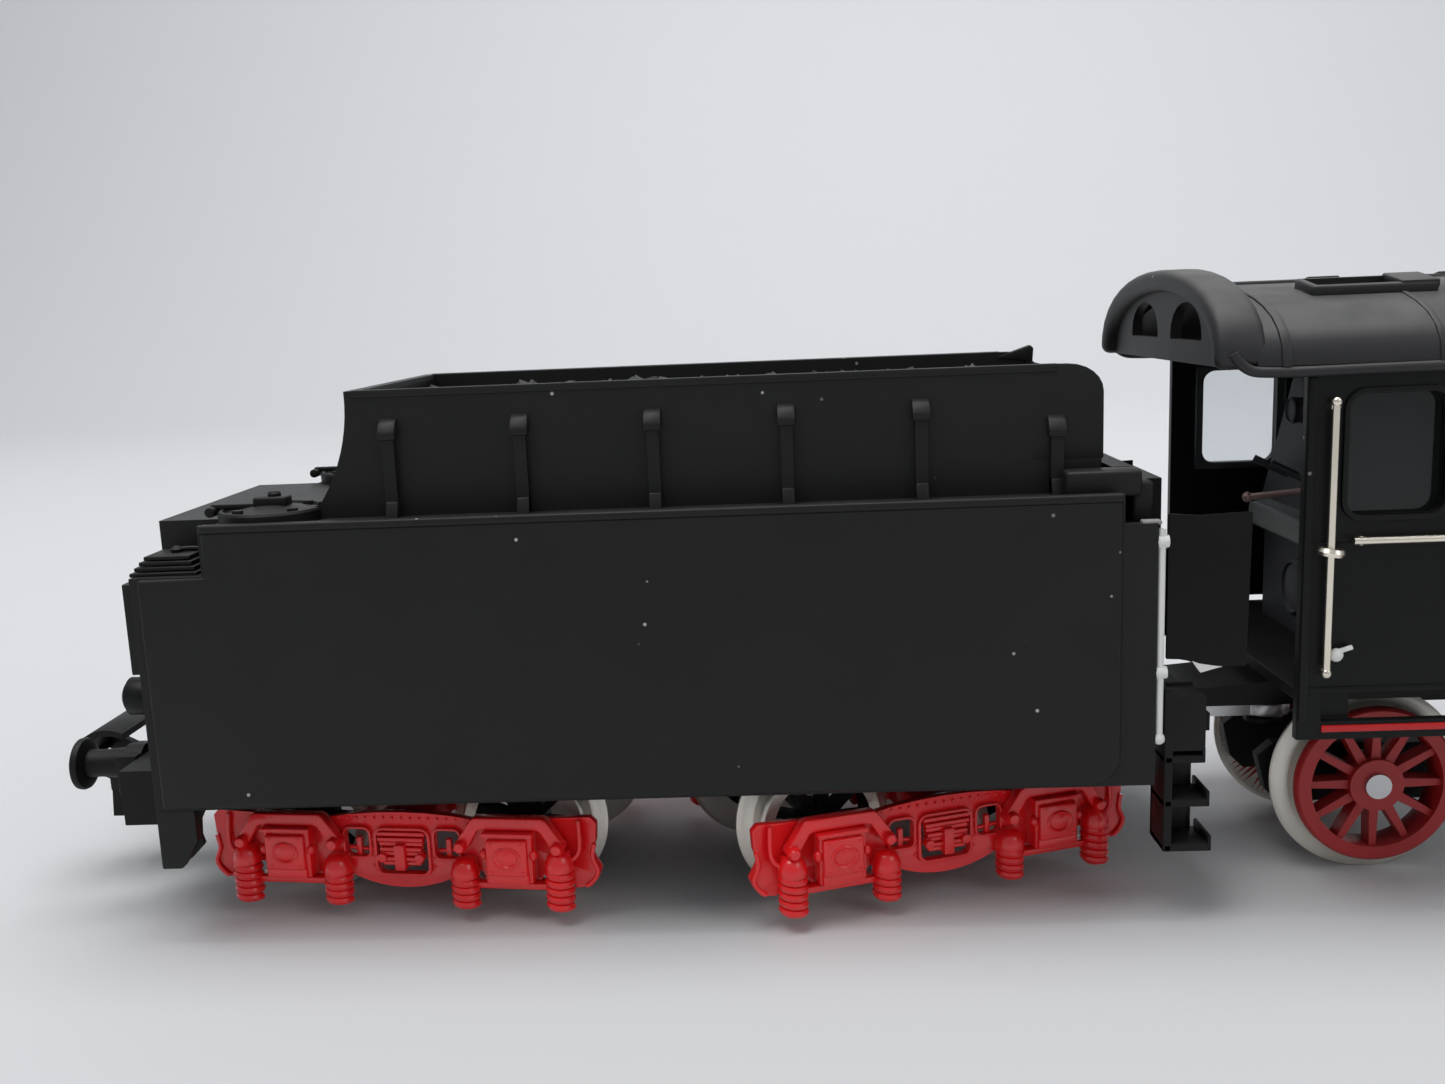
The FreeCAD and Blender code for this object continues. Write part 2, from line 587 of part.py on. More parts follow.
def boiler_shell():
    tube = rod_x(0, boiler_z, boiler_r, cab_len, boiler_end)
    tube = tube.cut(rod_x(0, boiler_z, boiler_r - 1.2, cab_len + 1.2, boiler_end - 1.5))
    fire = box(cab_len, fire_end, -fire_half, fire_half, 19.6, boiler_z)
    fire = fire.cut(box(cab_len + 1.0, fire_end - 1.0, 1 - fire_half, fire_half - 1, 18, boiler_z + 1))
    fire = fire.cut(rod_x(0, boiler_z, boiler_r - 1.2, cab_len + 1.2, 50))
    bands = []
    for x in (57.0, 78.0, 90.0, 113.0):
        inside = rod_x(0, boiler_z, boiler_r - 0.4, x - 1, x + 2)
        bands.append(rod_x(0, boiler_z, boiler_r + 0.2, x, x + 1.0).cut(inside))
    body = join([tube, fire] + bands)
    back = motor_x - 7.4
    body = body.cut(rod_y(motor_x, motor_z, motor_r + seat_gap, -motor_end - seat_gap, motor_end + seat_gap))
    body = body.cut(box(back, idler_x + 9.6, -5.0, 5.0, 20, 32.0))
    return body.cut(box(back - 20, back + 1, -4.6, 4.6, 20, 25.4))


def smokebox_door():
    x = boiler_end
    door = Part.makeCone(9.2, 5.2, 1.5, V(x + 0.7, 0, boiler_z), V(1, 0, 0))
    middle = (x + 2.8, 0, boiler_z)
    handles = [rod_between(middle, (x + 2.8, 2.4 * math.cos(a), boiler_z + 2.4 * math.sin(a)), 0.3)
               for a in (0.6, 3.7)]
    wheel_lock = join([rod_x(0, boiler_z, 0.7, x + 2.0, x + 3.2)] + handles)
    hinges = [box(x + 0.6, x + 1.5, -9.6, -3.0, z - 0.4, z + 0.4) for z in (boiler_z - 3, boiler_z + 3)]
    return join([rod_x(0, boiler_z, 9.2, x, x + 0.8), door, wheel_lock] + hinges)


def on_boiler(shape):
    return shape.cut(rod_x(0, boiler_z, boiler_r, 0, boiler_end + 5))


def chimney():
    x, z = boiler_end - 13.1, boiler_z + boiler_r
    foot = Part.makeCone(3.7, 2.5, 1.6, V(x, 0, z - 0.5), V(0, 0, 1))
    body = join([rod_z(x, 0, 3.7, z - 2, z - 0.4), foot, rod_z(x, 0, 2.5, z - 2, z + 4.6),
                 rod_z(x, 0, 2.9, z + 4.1, z + 5.2)])
    return on_boiler(body.cut(rod_z(x, 0, 1.8, z + 1, z + 6)))


def boiler_domes():
    parts = []
    for x, r, h in ((96.5, 4.4, 3.6), (72.0, 3.7, 3.0)):
        dome = rod_z(x, 0, r, boiler_z + boiler_r - 3, boiler_z + boiler_r + h)
        dome = dome.makeFillet(1.6, [e for e in dome.Edges
                                     if abs(e.CenterOfMass.z - (boiler_z + boiler_r + h)) < 0.01])
        parts.append(on_boiler(dome))
    for y in (-1.3, 1.3):
        parts.append(on_boiler(rod_z(44.0, y, 0.8, boiler_z + boiler_r - 2, boiler_z + boiler_r + 2.6)))
    return Part.makeCompound(parts)


def running_boards():
    z, t = board_z, board_t
    flat = box(cab_len, slope_x, fire_half + seat_gap, board_half, z, z + t)
    edge = box(cab_len, slope_x, board_half - 0.6, board_half, z - 1.6, z + t)
    front = plate([(slope_x - 0.5, z), (slope_x - 0.5, z + t), (slope_x + 0.3, z + t),
                   (slope_x + 6.6, 20.3), (beam_x + 1.0, 20.3), (beam_x + 1.0, 19.5),
                   (slope_x + 6.3, 19.5), (slope_x, z)], "xz", 0, board_half)
    return Part.makeCompound([join([flat, edge, flip_y(flat), flip_y(edge), front, flip_y(front)])])


def smoke_deflectors():
    profile = [(15.5, board_z + board_t), (16.1, board_z + board_t), (16.1, 39.0), (15.2, 44.5),
               (14.6, 44.4), (15.5, 38.9)]
    x = boiler_end - 7.0
    sheet = plate(profile, "yz", x - 10.5, x + 9.5)
    stay = rod_between((x, 11.0, 38.0), (x, 15.6, 38.0), 0.4)
    stay = stay.cut(rod_x(0, boiler_z, boiler_r, x - 6, x + 4))
    return Part.makeCompound(both([join([sheet, stay])]))


def boiler_handrails():
    y, z = boiler_r + 0.9, boiler_z + 2.6
    first, last = cab_len + 1.1, boiler_end - 19.0
    step = (last - first - 5.0) / 5
    knobs = [rod_between((first + 3.0 + step * i, boiler_r - 1.5, z),
                         (first + 3.0 + step * i, y, z), 0.35) for i in range(6)]
    rail = join([rod_x(y, z, 0.3, first, last)] + [on_boiler(knob) for knob in knobs])
    return Part.makeCompound(both([rail]))


def front_beam():
    plank = box(beam_x, beam_x + 2.0, -17.0, 17.0, 10.6, 19.4)
    hook = plate([(beam_x + 1.9, 12.6), (beam_x + 4.4, 12.2), (beam_x + 4.6, 14.6), (beam_x + 4.0, 14.6),
                  (beam_x + 3.6, 13.6), (beam_x + 1.9, 14.2)], "xz", -0.5, 0.5)
    step = box(beam_x - 2.6, beam_x + 0.1, 13.6, 17.0, 9.2, 9.8)
    strut = box(beam_x - 0.5, beam_x + 0.1, 13.6, 17.0, 9.2, 11.0)
    return join([plank, hook] + both([step, strut]))


def headlamps():
    low = join([rod_x(11.6, 22.6, 1.9, beam_x - 1.6, beam_x + 1.4),
                rod_x(11.6, 22.6, 1.5, beam_x + 1.3, beam_x + 1.8),
                rod_z(beam_x - 0.4, 11.6, 0.6, 20.3, 21.5)])
    top_z = boiler_z + boiler_r + 1.2
    high = join([rod_x(0, top_z, 1.6, boiler_end - 2.8, boiler_end + 0.4),
                 rod_x(0, top_z, 1.25, boiler_end + 0.3, boiler_end + 0.8)])
    return Part.makeCompound(both([low]) + [on_boiler(high)])


def cab_shell():
    t = 0.9
    y0, y1 = cab_half - t, cab_half
    side = box(0, cab_len, y0, y1, 19.3, cab_z)
    for a, b in ((3.2, 10.6), (13.9, 20.9)):
        side = side.cut(rounded(a, b, y0 - 1, y1 + 1, 33.4, 42.8, 1.2, "y"))
    post = box(0, 1.9, y0, y1, 15.3, 19.4)
    sill = box(0, cab_len, y0, y1, 15.3, 16.8)
    liner = box(1.2, 4.4, y0 - 0.8, y0 + 0.1, 15.9, 20.2)
    one = join([side, post, sill, liner])
    top = cab_half - 1.1
    front = plate([(-y0 - 0.1, 19.3), (y0 + 0.1, 19.3), (y0 + 0.1, cab_z), (top, cab_z),
                   (0, roof_ridge - 1.8, -top, cab_z), (-y0 - 0.1, cab_z)], "yz", cab_len - 1, cab_len)
    for s in (-1, 1):
        a, b = sorted((s * 12.6, s * 16.0))
        front = front.cut(rounded(cab_len - 2, cab_len + 1, a, b, 36.5, 42.6, 0.8, "x"))
    front = front.cut(box(cab_len - 2, cab_len + 1, -6, 6, 19, 26))
    return join([one, flip_y(one), front])


def cab_roof():
    e, z = cab_half + 0.5, cab_z
    outer = [(-e, z + 0.05), (-e, z + 1.3), (-e * 0.72, z + 4.6, -e * 0.5, z + 6.7),
             (0, roof_ridge + 0.02, e * 0.5, z + 6.7), (e * 0.72, z + 4.6, e, z + 1.3),
             (e, z + 0.05), (e - 1.6, z + 0.05), (0, roof_ridge - 1.6, -e + 1.6, z + 0.05)]
    return plate(outer, "yz", roof_back, cab_len + 0.6)


def cab_glazing():
    y0 = cab_half - 1.3
    panes = [box(a - 0.8, b + 0.8, y0, y0 + 0.35, 32.8, 43.3) for a, b in ((3.2, 10.6), (13.9, 20.9))]
    return Part.makeCompound(both(panes))


def cab_handrails():
    y = cab_half + 0.7
    up = join([rod_z(1.9, y, 0.3, 20.7, 42.4)] + [rod_between((1.9, cab_half, z), (1.9, y, z), 0.35)
                                                  for z in (21.2, 30.7, 41.9)])
    along = join([rod_x(y, 31.5, 0.3, 3.6, 24.0)] + [rod_between((x, cab_half, 31.5), (x, y, 31.5), 0.35)
                                                     for x in (4.2, 13.8, 23.4)])
    return Part.makeCompound(both([up, along]))


def cab_floor():
    body = box(0.6, cab_len - 1 - seat_gap, -cab_half + 1.8, cab_half - 1.8, 18.0, 19.0)
    seat = [box(2.6, 6.0, 12.4, 15.6, 24.0, 25.0), box(3.9, 4.7, 13.6, 14.4, 18.9, 24.2)]
    return join([body] + both(seat))


def backhead():
    x = cab_len - 1 - seat_gap
    body = plate([(7.4, 19.0), (7.4, 27.6), (6.0, 28.2), (6.2, 30.2), (7.0, 30.8), (9.9, 43.0),
                  (12.5, 46.5), (x, 46.5), (x, 19.0)], "xz", -10.5, 10.5)
    levers = [rod_between((8.6, y, 33.0), (4.9, y + 1.5, 35.0), 0.35) for y in (-6.0, 1.0, 5.5)]
    dials = [rod_x(y, 39.5, 1.2, 8.2, 10.2) for y in (-6.0, 0.0, 6.0)]
    return join([body] + levers + dials + [rod_x(0, 23.8, 2.6, 6.8, 7.6)])


def truck_frame():
    bar = plate([(1.6, 9.6), (2.4, 6.4), (3.6, 5.2), (17.0, 5.2), (19.5, 8.5), (19.5, 10.3), (3.0, 10.8)],
                "xz", 3.9, 5.2)
    bar = bar.cut(rod_y(trailing_x, trailing_z, 1.25 + run_gap, 3, 6))
    cross = box(15.0, 19.5, -4.0, 4.0, 8.5, 10.3)
    arm = [box(19.0, truck_pivot_x, -2.4, 2.4, 8.5, 10.3), rod_z(truck_pivot_x, 0, 3.0, 8.5, 10.3)]
    body = join([bar, flip_y(bar), cross] + arm)
    return body.cut(rod_z(truck_pivot_x, 0, 1.3 + run_gap, 8, 11))


def trailing_wheelset():
    caps = [rod_y(0, 0, 1.1, wheel_out - 0.1, wheel_out + 0.35)]
    return moved(wheelset(trailing_r, 12, 2.3, 1.4, 1.25, wheel_out - 0.1, both(caps)),
                 x=trailing_x, z=trailing_z)


def lead_frame():
    bar = plate([(-15.6, 5.4), (-15.6, 9.4), (-6.0, 10.2), (6.0, 10.2), (15.6, 9.4), (15.6, 5.4),
                 (9.0, 5.4), (6.0, 7.4), (-6.0, 7.4), (-9.0, 5.4)], "xz", 4.3, 5.5)
    for s in (-1, 1):
        bar = bar.cut(rod_y(s * lead_half_base, lead_z, 1.0 + run_gap, 3, 7))
    top = box(-6.0, 6.0, -5.5, 5.5, 10.2, 11.6)
    return moved(join([bar, flip_y(bar), top]).cut(rod_z(0, 0, 1.6 + run_gap, 9, 12)), x=lead_x)


# ---- assemble ------------------------------------------------------------------------------
def on_bogie(shape, end, spot=0.0):
    x, yaw = (bogie_rear_x, bogie_rear_yaw) if end < 0 else (bogie_front_x, bogie_front_yaw)
    return moved(moved(shape, x=spot), x=x, yaw=yaw)


nodes = {
    "tender_shell": tender_shell(), "coal_load": coal_load(), "tender_chassis": tender_chassis(),
    "tender_weight": tender_weight(), "tender_front_lockers": front_lockers(),
    "tender_front_steps": front_steps(), "tender_front_handrails": front_handrails(),
    "tender_fall_plates": fall_plates(), "tender_buffers": buffer_pair(-4.0, -1),
    "tender_rear_fittings": rear_fittings(), "tender_rear_lamps": rear_lamps(),
    "tender_filler_lids": filler_lids(), "tender_rear_hatches": rear_hatches(),
    "tender_pivot_screws": pivot_screws(),
    "coupler_shank": coupler_shank(), "coupler_loop": coupler_loop(), "drawbar": drawbar(),
    "tender_bogie_frame_rear": on_bogie(bogie_frame(), -1),
    "tender_bogie_frame_front": on_bogie(bogie_frame(), 1),
}
lifted = moved(tender_wheelset(), z=tender_axle_z)
for number, end, way in ((1, -1, -1), (2, -1, 1), (3, 1, -1), (4, 1, 1)):
    nodes["tender_wheelset_%d" % number] = on_bogie(lifted, end, way * bogie_half_base)

lead_pair = moved(wheelset(lead_r, 10, 1.6, 1.3, 1.0, wheel_out - 0.1), z=lead_z)
engine = {
    "engine_frame": engine_frame(), "front_beam": front_beam(),
    "front_buffers": buffer_pair(beam_x + 2.0, 1),
    "headlamps": headlamps(), "boiler_shell": boiler_shell(), "smokebox_door": smokebox_door(),
    "chimney": chimney(), "boiler_domes": boiler_domes(), "running_boards": running_boards(),
    "smoke_deflectors": smoke_deflectors(), "boiler_handrails": boiler_handrails(),
    "cab_shell": cab_shell(), "cab_roof": cab_roof(), "cab_glazing": cab_glazing(),
    "cab_handrails": cab_handrails(), "cab_floor": cab_floor(), "cab_backhead": backhead(),
    "cylinder_block": cylinder_block(), "slide_bars": slide_bars(),
    "crosshead_right": crosshead(-1), "crosshead_left": crosshead(1),
    "coupling_rod_right": coupling_rod(-1), "coupling_rod_left": coupling_rod(1),
    "main_rod_right": main_rod(-1), "main_rod_left": main_rod(1),
    "drivers_rear": moved(driver(False, True), x=driver_xs[0], z=driver_z),
    "drivers_main": moved(driver(True, False), x=driver_xs[1], z=driver_z),
    "drivers_front": moved(driver(False, False), x=driver_xs[2], z=driver_z),
    "trailing_truck_frame": truck_frame(), "trailing_wheelset": trailing_wheelset(),
    "lead_bogie_frame": lead_frame(),
    "lead_wheelset_rear": moved(lead_pair, x=lead_x - lead_half_base),
    "lead_wheelset_front": moved(lead_pair, x=lead_x + lead_half_base),
    "motor_housing": motor_housing(), "motor_armature": motor_armature(), "idler_gear": idler_gear(),
}
for name, shape in engine.items():
    nodes[name] = moved(shape, x=engine_x)

boxes = [shape.BoundBox for shape in nodes.values()]
shift = -(min(b.XMin for b in boxes) + max(b.XMax for b in boxes)) / 2
os.makedirs("parts", exist_ok=True)
for name, shape in nodes.items():
    shape.translate(V(shift, 0, 0))
    shape.exportStep("parts/" + name + ".step")
print("shift", round(shift, 4), "nodes", len(nodes))
for label, x, z in (("idler", idler_x, idler_z), ("motor", motor_x, motor_z)):
    print(label, round(engine_x + x + shift, 4), round(z, 4))
for side in (-1, 1):
    px, pz = pin_spot(driver_xs[1], side)
    print("side", side, "pin", round(engine_x + px + shift, 4), round(pz, 4),
          "wrist", round(engine_x + wrist_x(side) + shift, 4))
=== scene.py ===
import bpy
import json
import math
import random
from mathutils import Matrix, Vector

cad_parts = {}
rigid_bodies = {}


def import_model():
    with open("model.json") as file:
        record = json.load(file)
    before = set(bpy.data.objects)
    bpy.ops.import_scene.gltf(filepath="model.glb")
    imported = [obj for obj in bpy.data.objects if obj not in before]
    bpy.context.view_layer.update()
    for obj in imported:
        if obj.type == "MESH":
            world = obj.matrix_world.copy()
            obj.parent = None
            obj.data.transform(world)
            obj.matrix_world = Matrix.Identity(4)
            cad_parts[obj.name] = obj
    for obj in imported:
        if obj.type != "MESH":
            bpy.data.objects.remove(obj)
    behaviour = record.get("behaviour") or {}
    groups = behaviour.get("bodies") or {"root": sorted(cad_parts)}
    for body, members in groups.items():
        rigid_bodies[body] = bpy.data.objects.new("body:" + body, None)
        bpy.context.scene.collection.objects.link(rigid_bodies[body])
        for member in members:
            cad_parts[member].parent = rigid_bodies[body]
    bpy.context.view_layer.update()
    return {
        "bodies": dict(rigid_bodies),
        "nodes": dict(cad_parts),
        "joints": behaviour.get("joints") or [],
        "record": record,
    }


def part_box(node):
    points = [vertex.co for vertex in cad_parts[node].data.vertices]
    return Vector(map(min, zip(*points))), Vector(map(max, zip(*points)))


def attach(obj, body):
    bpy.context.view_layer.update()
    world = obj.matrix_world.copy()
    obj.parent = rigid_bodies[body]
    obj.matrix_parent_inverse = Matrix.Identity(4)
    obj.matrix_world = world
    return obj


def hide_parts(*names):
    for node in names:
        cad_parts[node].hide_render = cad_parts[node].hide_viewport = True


# Model express locomotive with bogie tender, in metres. x runs forward, z up.
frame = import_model()
nodes = frame["nodes"]
mm = 0.001


def inPlace(x, y, z):
    # millimetres to the frame's metres
    return (x * mm, y * mm, z * mm)


def dropSelection():
    if bpy.context.object and bpy.context.object.mode != "OBJECT":
        bpy.ops.object.mode_set(mode="OBJECT")
    bpy.ops.object.select_all(action="DESELECT")


def pick(piece):
    dropSelection()
    piece.select_set(True)
    bpy.context.view_layer.objects.active = piece


def settle(piece, name):
    # bakes place, turn and size into the mesh, so the object sits at the origin
    pick(piece)
    bpy.ops.object.transform_apply(location=True, rotation=True, scale=True)
    piece.name = name
    piece.data.name = name
    return piece


def startBox(low, high):
    low, high = Vector(low), Vector(high)
    dropSelection()
    bpy.ops.mesh.primitive_cube_add(size=1, location=(low + high) / 2, scale=high - low)
    piece = bpy.context.object
    bpy.ops.object.transform_apply(location=True, rotation=True, scale=True)
    return piece


def startRod(begin, end, radius, sides=24):
    begin, end = Vector(begin), Vector(end)
    turn = (end - begin).to_track_quat("Z", "Y").to_euler()
    dropSelection()
    bpy.ops.mesh.primitive_cylinder_add(vertices=sides, radius=radius * mm, depth=(end - begin).length,
                                        location=(begin + end) / 2, rotation=turn)
    piece = bpy.context.object
    bpy.ops.object.transform_apply(location=True, rotation=True, scale=True)
    return piece


def applyModifier(piece, kind, **values):
    pick(piece)
    modifier = piece.modifiers.new(kind.title(), kind)
    for key, value in values.items():
        setattr(modifier, key, value)
    bpy.ops.object.modifier_apply(modifier=modifier.name)
    return piece


def roundEdges(piece, width, segments=2, angle=30):
    return applyModifier(piece, "BEVEL", width=width * mm, segments=segments, limit_method="ANGLE",
                         angle_limit=math.radians(angle))


def smooth(piece, angle=35):
    pick(piece)
    bpy.ops.object.shade_smooth_by_angle(angle=math.radians(angle))
    return piece


def editFaces(piece, rule):
    # leaves edit mode on, with only the faces selected that the rule accepts
    pick(piece)
    bpy.ops.object.mode_set(mode="EDIT")
    bpy.ops.mesh.select_mode(type="FACE")
    bpy.ops.mesh.select_all(action="DESELECT")
    bpy.ops.object.mode_set(mode="OBJECT")
    for face in piece.data.polygons:
        face.select = bool(rule(face.center, face.normal))
    bpy.ops.object.mode_set(mode="EDIT")


def leaveEdit():
    bpy.ops.object.mode_set(mode="OBJECT")


def copyOf(piece, offset=(0, 0, 0), turn=None, mirrorY=False):
    twin = piece.copy()
    twin.data = piece.data.copy()
    bpy.context.scene.collection.objects.link(twin)
    matrix = Matrix.Translation(Vector(offset))
    if turn is not None:
        matrix = matrix @ turn
    if mirrorY:
        matrix = Matrix.Diagonal((1, -1, 1, 1)) @ matrix
    twin.data.transform(matrix)
    if mirrorY:
        twin.data.flip_normals()
    return twin


def startPoint(spot):
    # a single vertex, left in edit mode
    dropSelection()
    bpy.ops.mesh.primitive_plane_add(size=0.001, location=spot)
    piece = bpy.context.object
    bpy.ops.object.transform_apply(location=True, rotation=True, scale=True)
    bpy.ops.object.mode_set(mode="EDIT")
    bpy.ops.mesh.select_mode(type="VERT")
    bpy.ops.mesh.select_all(action="SELECT")
    bpy.ops.mesh.merge(type="CENTER")
    return piece


def drawChain(points):
    piece = startPoint(points[0])
    for near, far in zip(points, points[1:]):
        bpy.ops.mesh.extrude_vertices_move(TRANSFORM_OT_translate={"value": Vector(far) - Vector(near)})
    return piece


def prism(points, low, high, across="y"):
    # a closed outline pushed from low to high along one axis; points are (x, z), (y, z) or (x, y)
    spots = {"y": [(a, low, b) for a, b in points], "x": [(low, a, b) for a, b in points],
             "z": [(a, b, low) for a, b in points]}
    push = {"y": (0, high - low, 0), "x": (high - low, 0, 0), "z": (0, 0, high - low)}[across]
    piece = drawChain(spots[across])
    bpy.ops.mesh.select_all(action="SELECT")
    bpy.ops.mesh.edge_face_add()
    bpy.ops.mesh.extrude_region_move(TRANSFORM_OT_translate={"value": push})
    bpy.ops.mesh.select_all(action="SELECT")
    bpy.ops.mesh.normals_make_consistent(inside=False)
    leaveEdit()
    return piece


def arc(middleA, middleB, radiusA, start, end, steps=6, radiusB=None):
    tall = radiusA if radiusB is None else radiusB
    turns = [math.radians(start + (end - start) * i / steps) for i in range(steps + 1)]
    return [(middleA + radiusA * math.cos(t), middleB + tall * math.sin(t)) for t in turns]


def roundedOutline(a0, a1, b0, b1, radius, steps=4):
    return (arc(a1 - radius, b1 - radius, radius, 0, 90, steps)
            + arc(a0 + radius, b1 - radius, radius, 90, 180, steps)
            + arc(a0 + radius, b0 + radius, radius, 180, 270, steps)
            + arc(a1 - radius, b0 + radius, radius, 270, 360, steps))


def turnedPiece(stations, place, toward, steps=28):
    # stations are (distance along, radius), spun round the line from place toward a direction
    piece = drawChain([(radius * mm, 0, along * mm) for along, radius in stations])
    leaveEdit()
    applyModifier(piece, "SCREW", axis="Z", angle=math.radians(360), steps=steps, render_steps=steps,
                  use_merge_vertices=True, merge_threshold=1e-7, use_normal_calculate=True)
    piece.rotation_euler = Vector(toward).to_track_quat("Z", "Y").to_euler()
    piece.location = place
    pick(piece)
    bpy.ops.object.transform_apply(location=True, rotation=True, scale=True)
    bpy.ops.object.mode_set(mode="EDIT")
    bpy.ops.mesh.select_all(action="SELECT")
    bpy.ops.mesh.normals_make_consistent(inside=False)
    leaveEdit()
    return piece


def wire(points, radius, soft=True, sides=3):
    line = bpy.data.curves.new("wire", "CURVE")
    line.dimensions = "3D"
    line.bevel_depth = radius * mm
    line.bevel_resolution = sides
    line.use_fill_caps = True
    spline = line.splines.new("NURBS" if soft else "POLY")
    spline.points.add(len(points) - 1)
    for corner, point in zip(spline.points, points):
        corner.co = (*point, 1)
    if soft:
        spline.order_u = 3
        spline.use_endpoint_u = True
        spline.resolution_u = 8
    piece = bpy.data.objects.new("wire", line)
    bpy.context.scene.collection.objects.link(piece)
    pick(piece)
    bpy.ops.object.convert(target="MESH")
    return bpy.context.object


def coil(place, radius, thickness, pitch, turns, steps=14, sides=8):
    dropSelection()
    bpy.ops.mesh.primitive_circle_add(vertices=sides, radius=thickness, fill_type="NOTHING",
                                      location=(radius, 0, 0), rotation=(math.radians(90), 0, 0))
    piece = bpy.context.object
    bpy.ops.object.transform_apply(location=True, rotation=True, scale=True)
    applyModifier(piece, "SCREW", axis="Z", angle=math.radians(360), screw_offset=pitch, iterations=turns,
                  steps=steps, render_steps=steps, use_normal_calculate=True)
    pick(piece)
    bpy.ops.object.mode_set(mode="EDIT")
    bpy.ops.mesh.select_all(action="SELECT")
    bpy.ops.mesh.fill_holes(sides=0)
    leaveEdit()
    piece.location = place
    pick(piece)
    bpy.ops.object.transform_apply(location=True, rotation=True, scale=True)
    return piece


def ball(place, radius, squash=(1, 1, 1), sides=10, rings=6):
    dropSelection()
    bpy.ops.mesh.primitive_uv_sphere_add(segments=sides, ring_count=rings, radius=radius * mm,
                                         location=place, scale=squash)
    piece = bpy.context.object
    bpy.ops.object.transform_apply(location=True, rotation=True, scale=True)
    return piece


def cutWith(piece, cutters):
    for cutter in cutters:
        applyModifier(piece, "BOOLEAN", object=cutter, operation="DIFFERENCE", solver="EXACT")
        bpy.data.objects.remove(cutter)
    return piece


def sunkFace(piece, rule, margin, depth):
    # leaves a raised border round the faces that the rule accepts
    editFaces(piece, rule)
    bpy.ops.mesh.inset(thickness=margin, depth=-depth)
    leaveEdit()
    return piece


def bothSides(piece):
    return [piece, copyOf(piece, mirrorY=True)]


def joinPieces(pieces, name):
    dropSelection()
    for piece in pieces:
        piece.select_set(True)
    bpy.context.view_layer.objects.active = pieces[0]
    if len(pieces) > 1:
        bpy.ops.object.join()
    return settle(pieces[0], name)


def dress(piece, material, body):
    piece.data.materials.clear()
    piece.data.materials.append(material)
    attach(piece, body)
    return piece


view = {
    "place": (-72.524, -122.172, 51.381),
    "yaw": -0.0396,
    "pitch": 0.1745,
    "roll": 0.0409,
    "lens": 33.444,
}


def makeCamera():
    yaw, pitch, roll = view["yaw"], view["pitch"], view["roll"]
    ahead = Vector((math.sin(yaw) * math.cos(pitch), math.cos(yaw) * math.cos(pitch), -math.sin(pitch)))
    right = Vector((math.cos(yaw), -math.sin(yaw), 0))
    down = ahead.cross(right)
    across = math.cos(roll) * right + math.sin(roll) * down
    below = math.cos(roll) * down - math.sin(roll) * right
    turn = Matrix((across, -below, -ahead)).transposed().to_4x4()
    lens = bpy.data.cameras.new("camera")
    lens.lens = view["lens"]
    lens.sensor_width = 36
    lens.clip_start = 0.002
    camera = bpy.data.objects.new("camera", lens)
    camera.matrix_world = Matrix.Translation(Vector(inPlace(*view["place"]))) @ turn
    bpy.context.scene.collection.objects.link(camera)
    bpy.context.scene.camera = camera


def makeLight(name, place, target, size, power, tint=(1, 1, 1)):
    lamp = bpy.data.lights.new(name, "AREA")
    lamp.shape = "DISK"
    lamp.size = size
    lamp.energy = power
    lamp.color = tint
    holder = bpy.data.objects.new(name, lamp)
    aim = (Vector(target) - Vector(place)).to_track_quat("-Z", "Y")
    holder.matrix_world = Matrix.Translation(Vector(place)) @ aim.to_matrix().to_4x4()
    holder.visible_camera = False
    bpy.context.scene.collection.objects.link(holder)


stageSizes = {"floor": 6.0, "back": 0.55, "bend": 0.35, "tall": 1.6, "tone": (0.62, 0.625, 0.63),
              "roughness": 0.7, "room": (0.80, 0.83, 0.88), "glow": 0.47}


# a pale sheet that lies flat under the model and bends up far behind it
def makeStage():
    size, back, bend = stageSizes["floor"], stageSizes["back"], stageSizes["bend"]
    curve = [(back + bend * math.sin(math.radians(9 * i)), bend - bend * math.cos(math.radians(9 * i)))
             for i in range(11)]
    line = [(-size / 2, 0)] + curve + [(back + bend, stageSizes["tall"])]
    piece = drawChain([(-size / 2, y, z - 0.00002) for y, z in line])
    bpy.ops.mesh.select_all(action="SELECT")
    bpy.ops.mesh.extrude_edges_move(TRANSFORM_OT_translate={"value": (size, 0, 0)})
    bpy.ops.mesh.select_all(action="SELECT")
    bpy.ops.mesh.normals_make_consistent(inside=False)
    leaveEdit()
    floor = smooth(settle(piece, "floor"), 60)
    paper = bpy.data.materials.new("paleTable")
    paper.use_nodes = True
    shader = paper.node_tree.nodes["Principled BSDF"]
    shader.inputs["Base Color"].default_value = (*stageSizes["tone"], 1)
    shader.inputs["Roughness"].default_value = stageSizes["roughness"]
    floor.data.materials.append(paper)
    world = bpy.data.worlds.new("softRoom")
    bpy.context.scene.world = world
    world.use_nodes = True
    air = world.node_tree.nodes["Background"]
    air.inputs["Color"].default_value = (*stageSizes["room"], 1)
    air.inputs["Strength"].default_value = stageSizes["glow"]


makeCamera()
makeStage()
makeLight("keyLight", (-0.35, -0.15, 0.85), (-0.03, 0, 0.02), 0.6, 3.4)
makeLight("fillLight", (0.6, -0.5, 0.6), (0, 0, 0.03), 0.5, 0.9, (1, 0.98, 0.95))
makeLight("wallLight", (0.1, 0.15, 1.0), (0.0, 1.0, 0.35), 0.8, 7.5, (0.97, 0.98, 1))
bpy.context.scene.view_settings.view_transform = "Standard"
print("camera, floor and light are set")


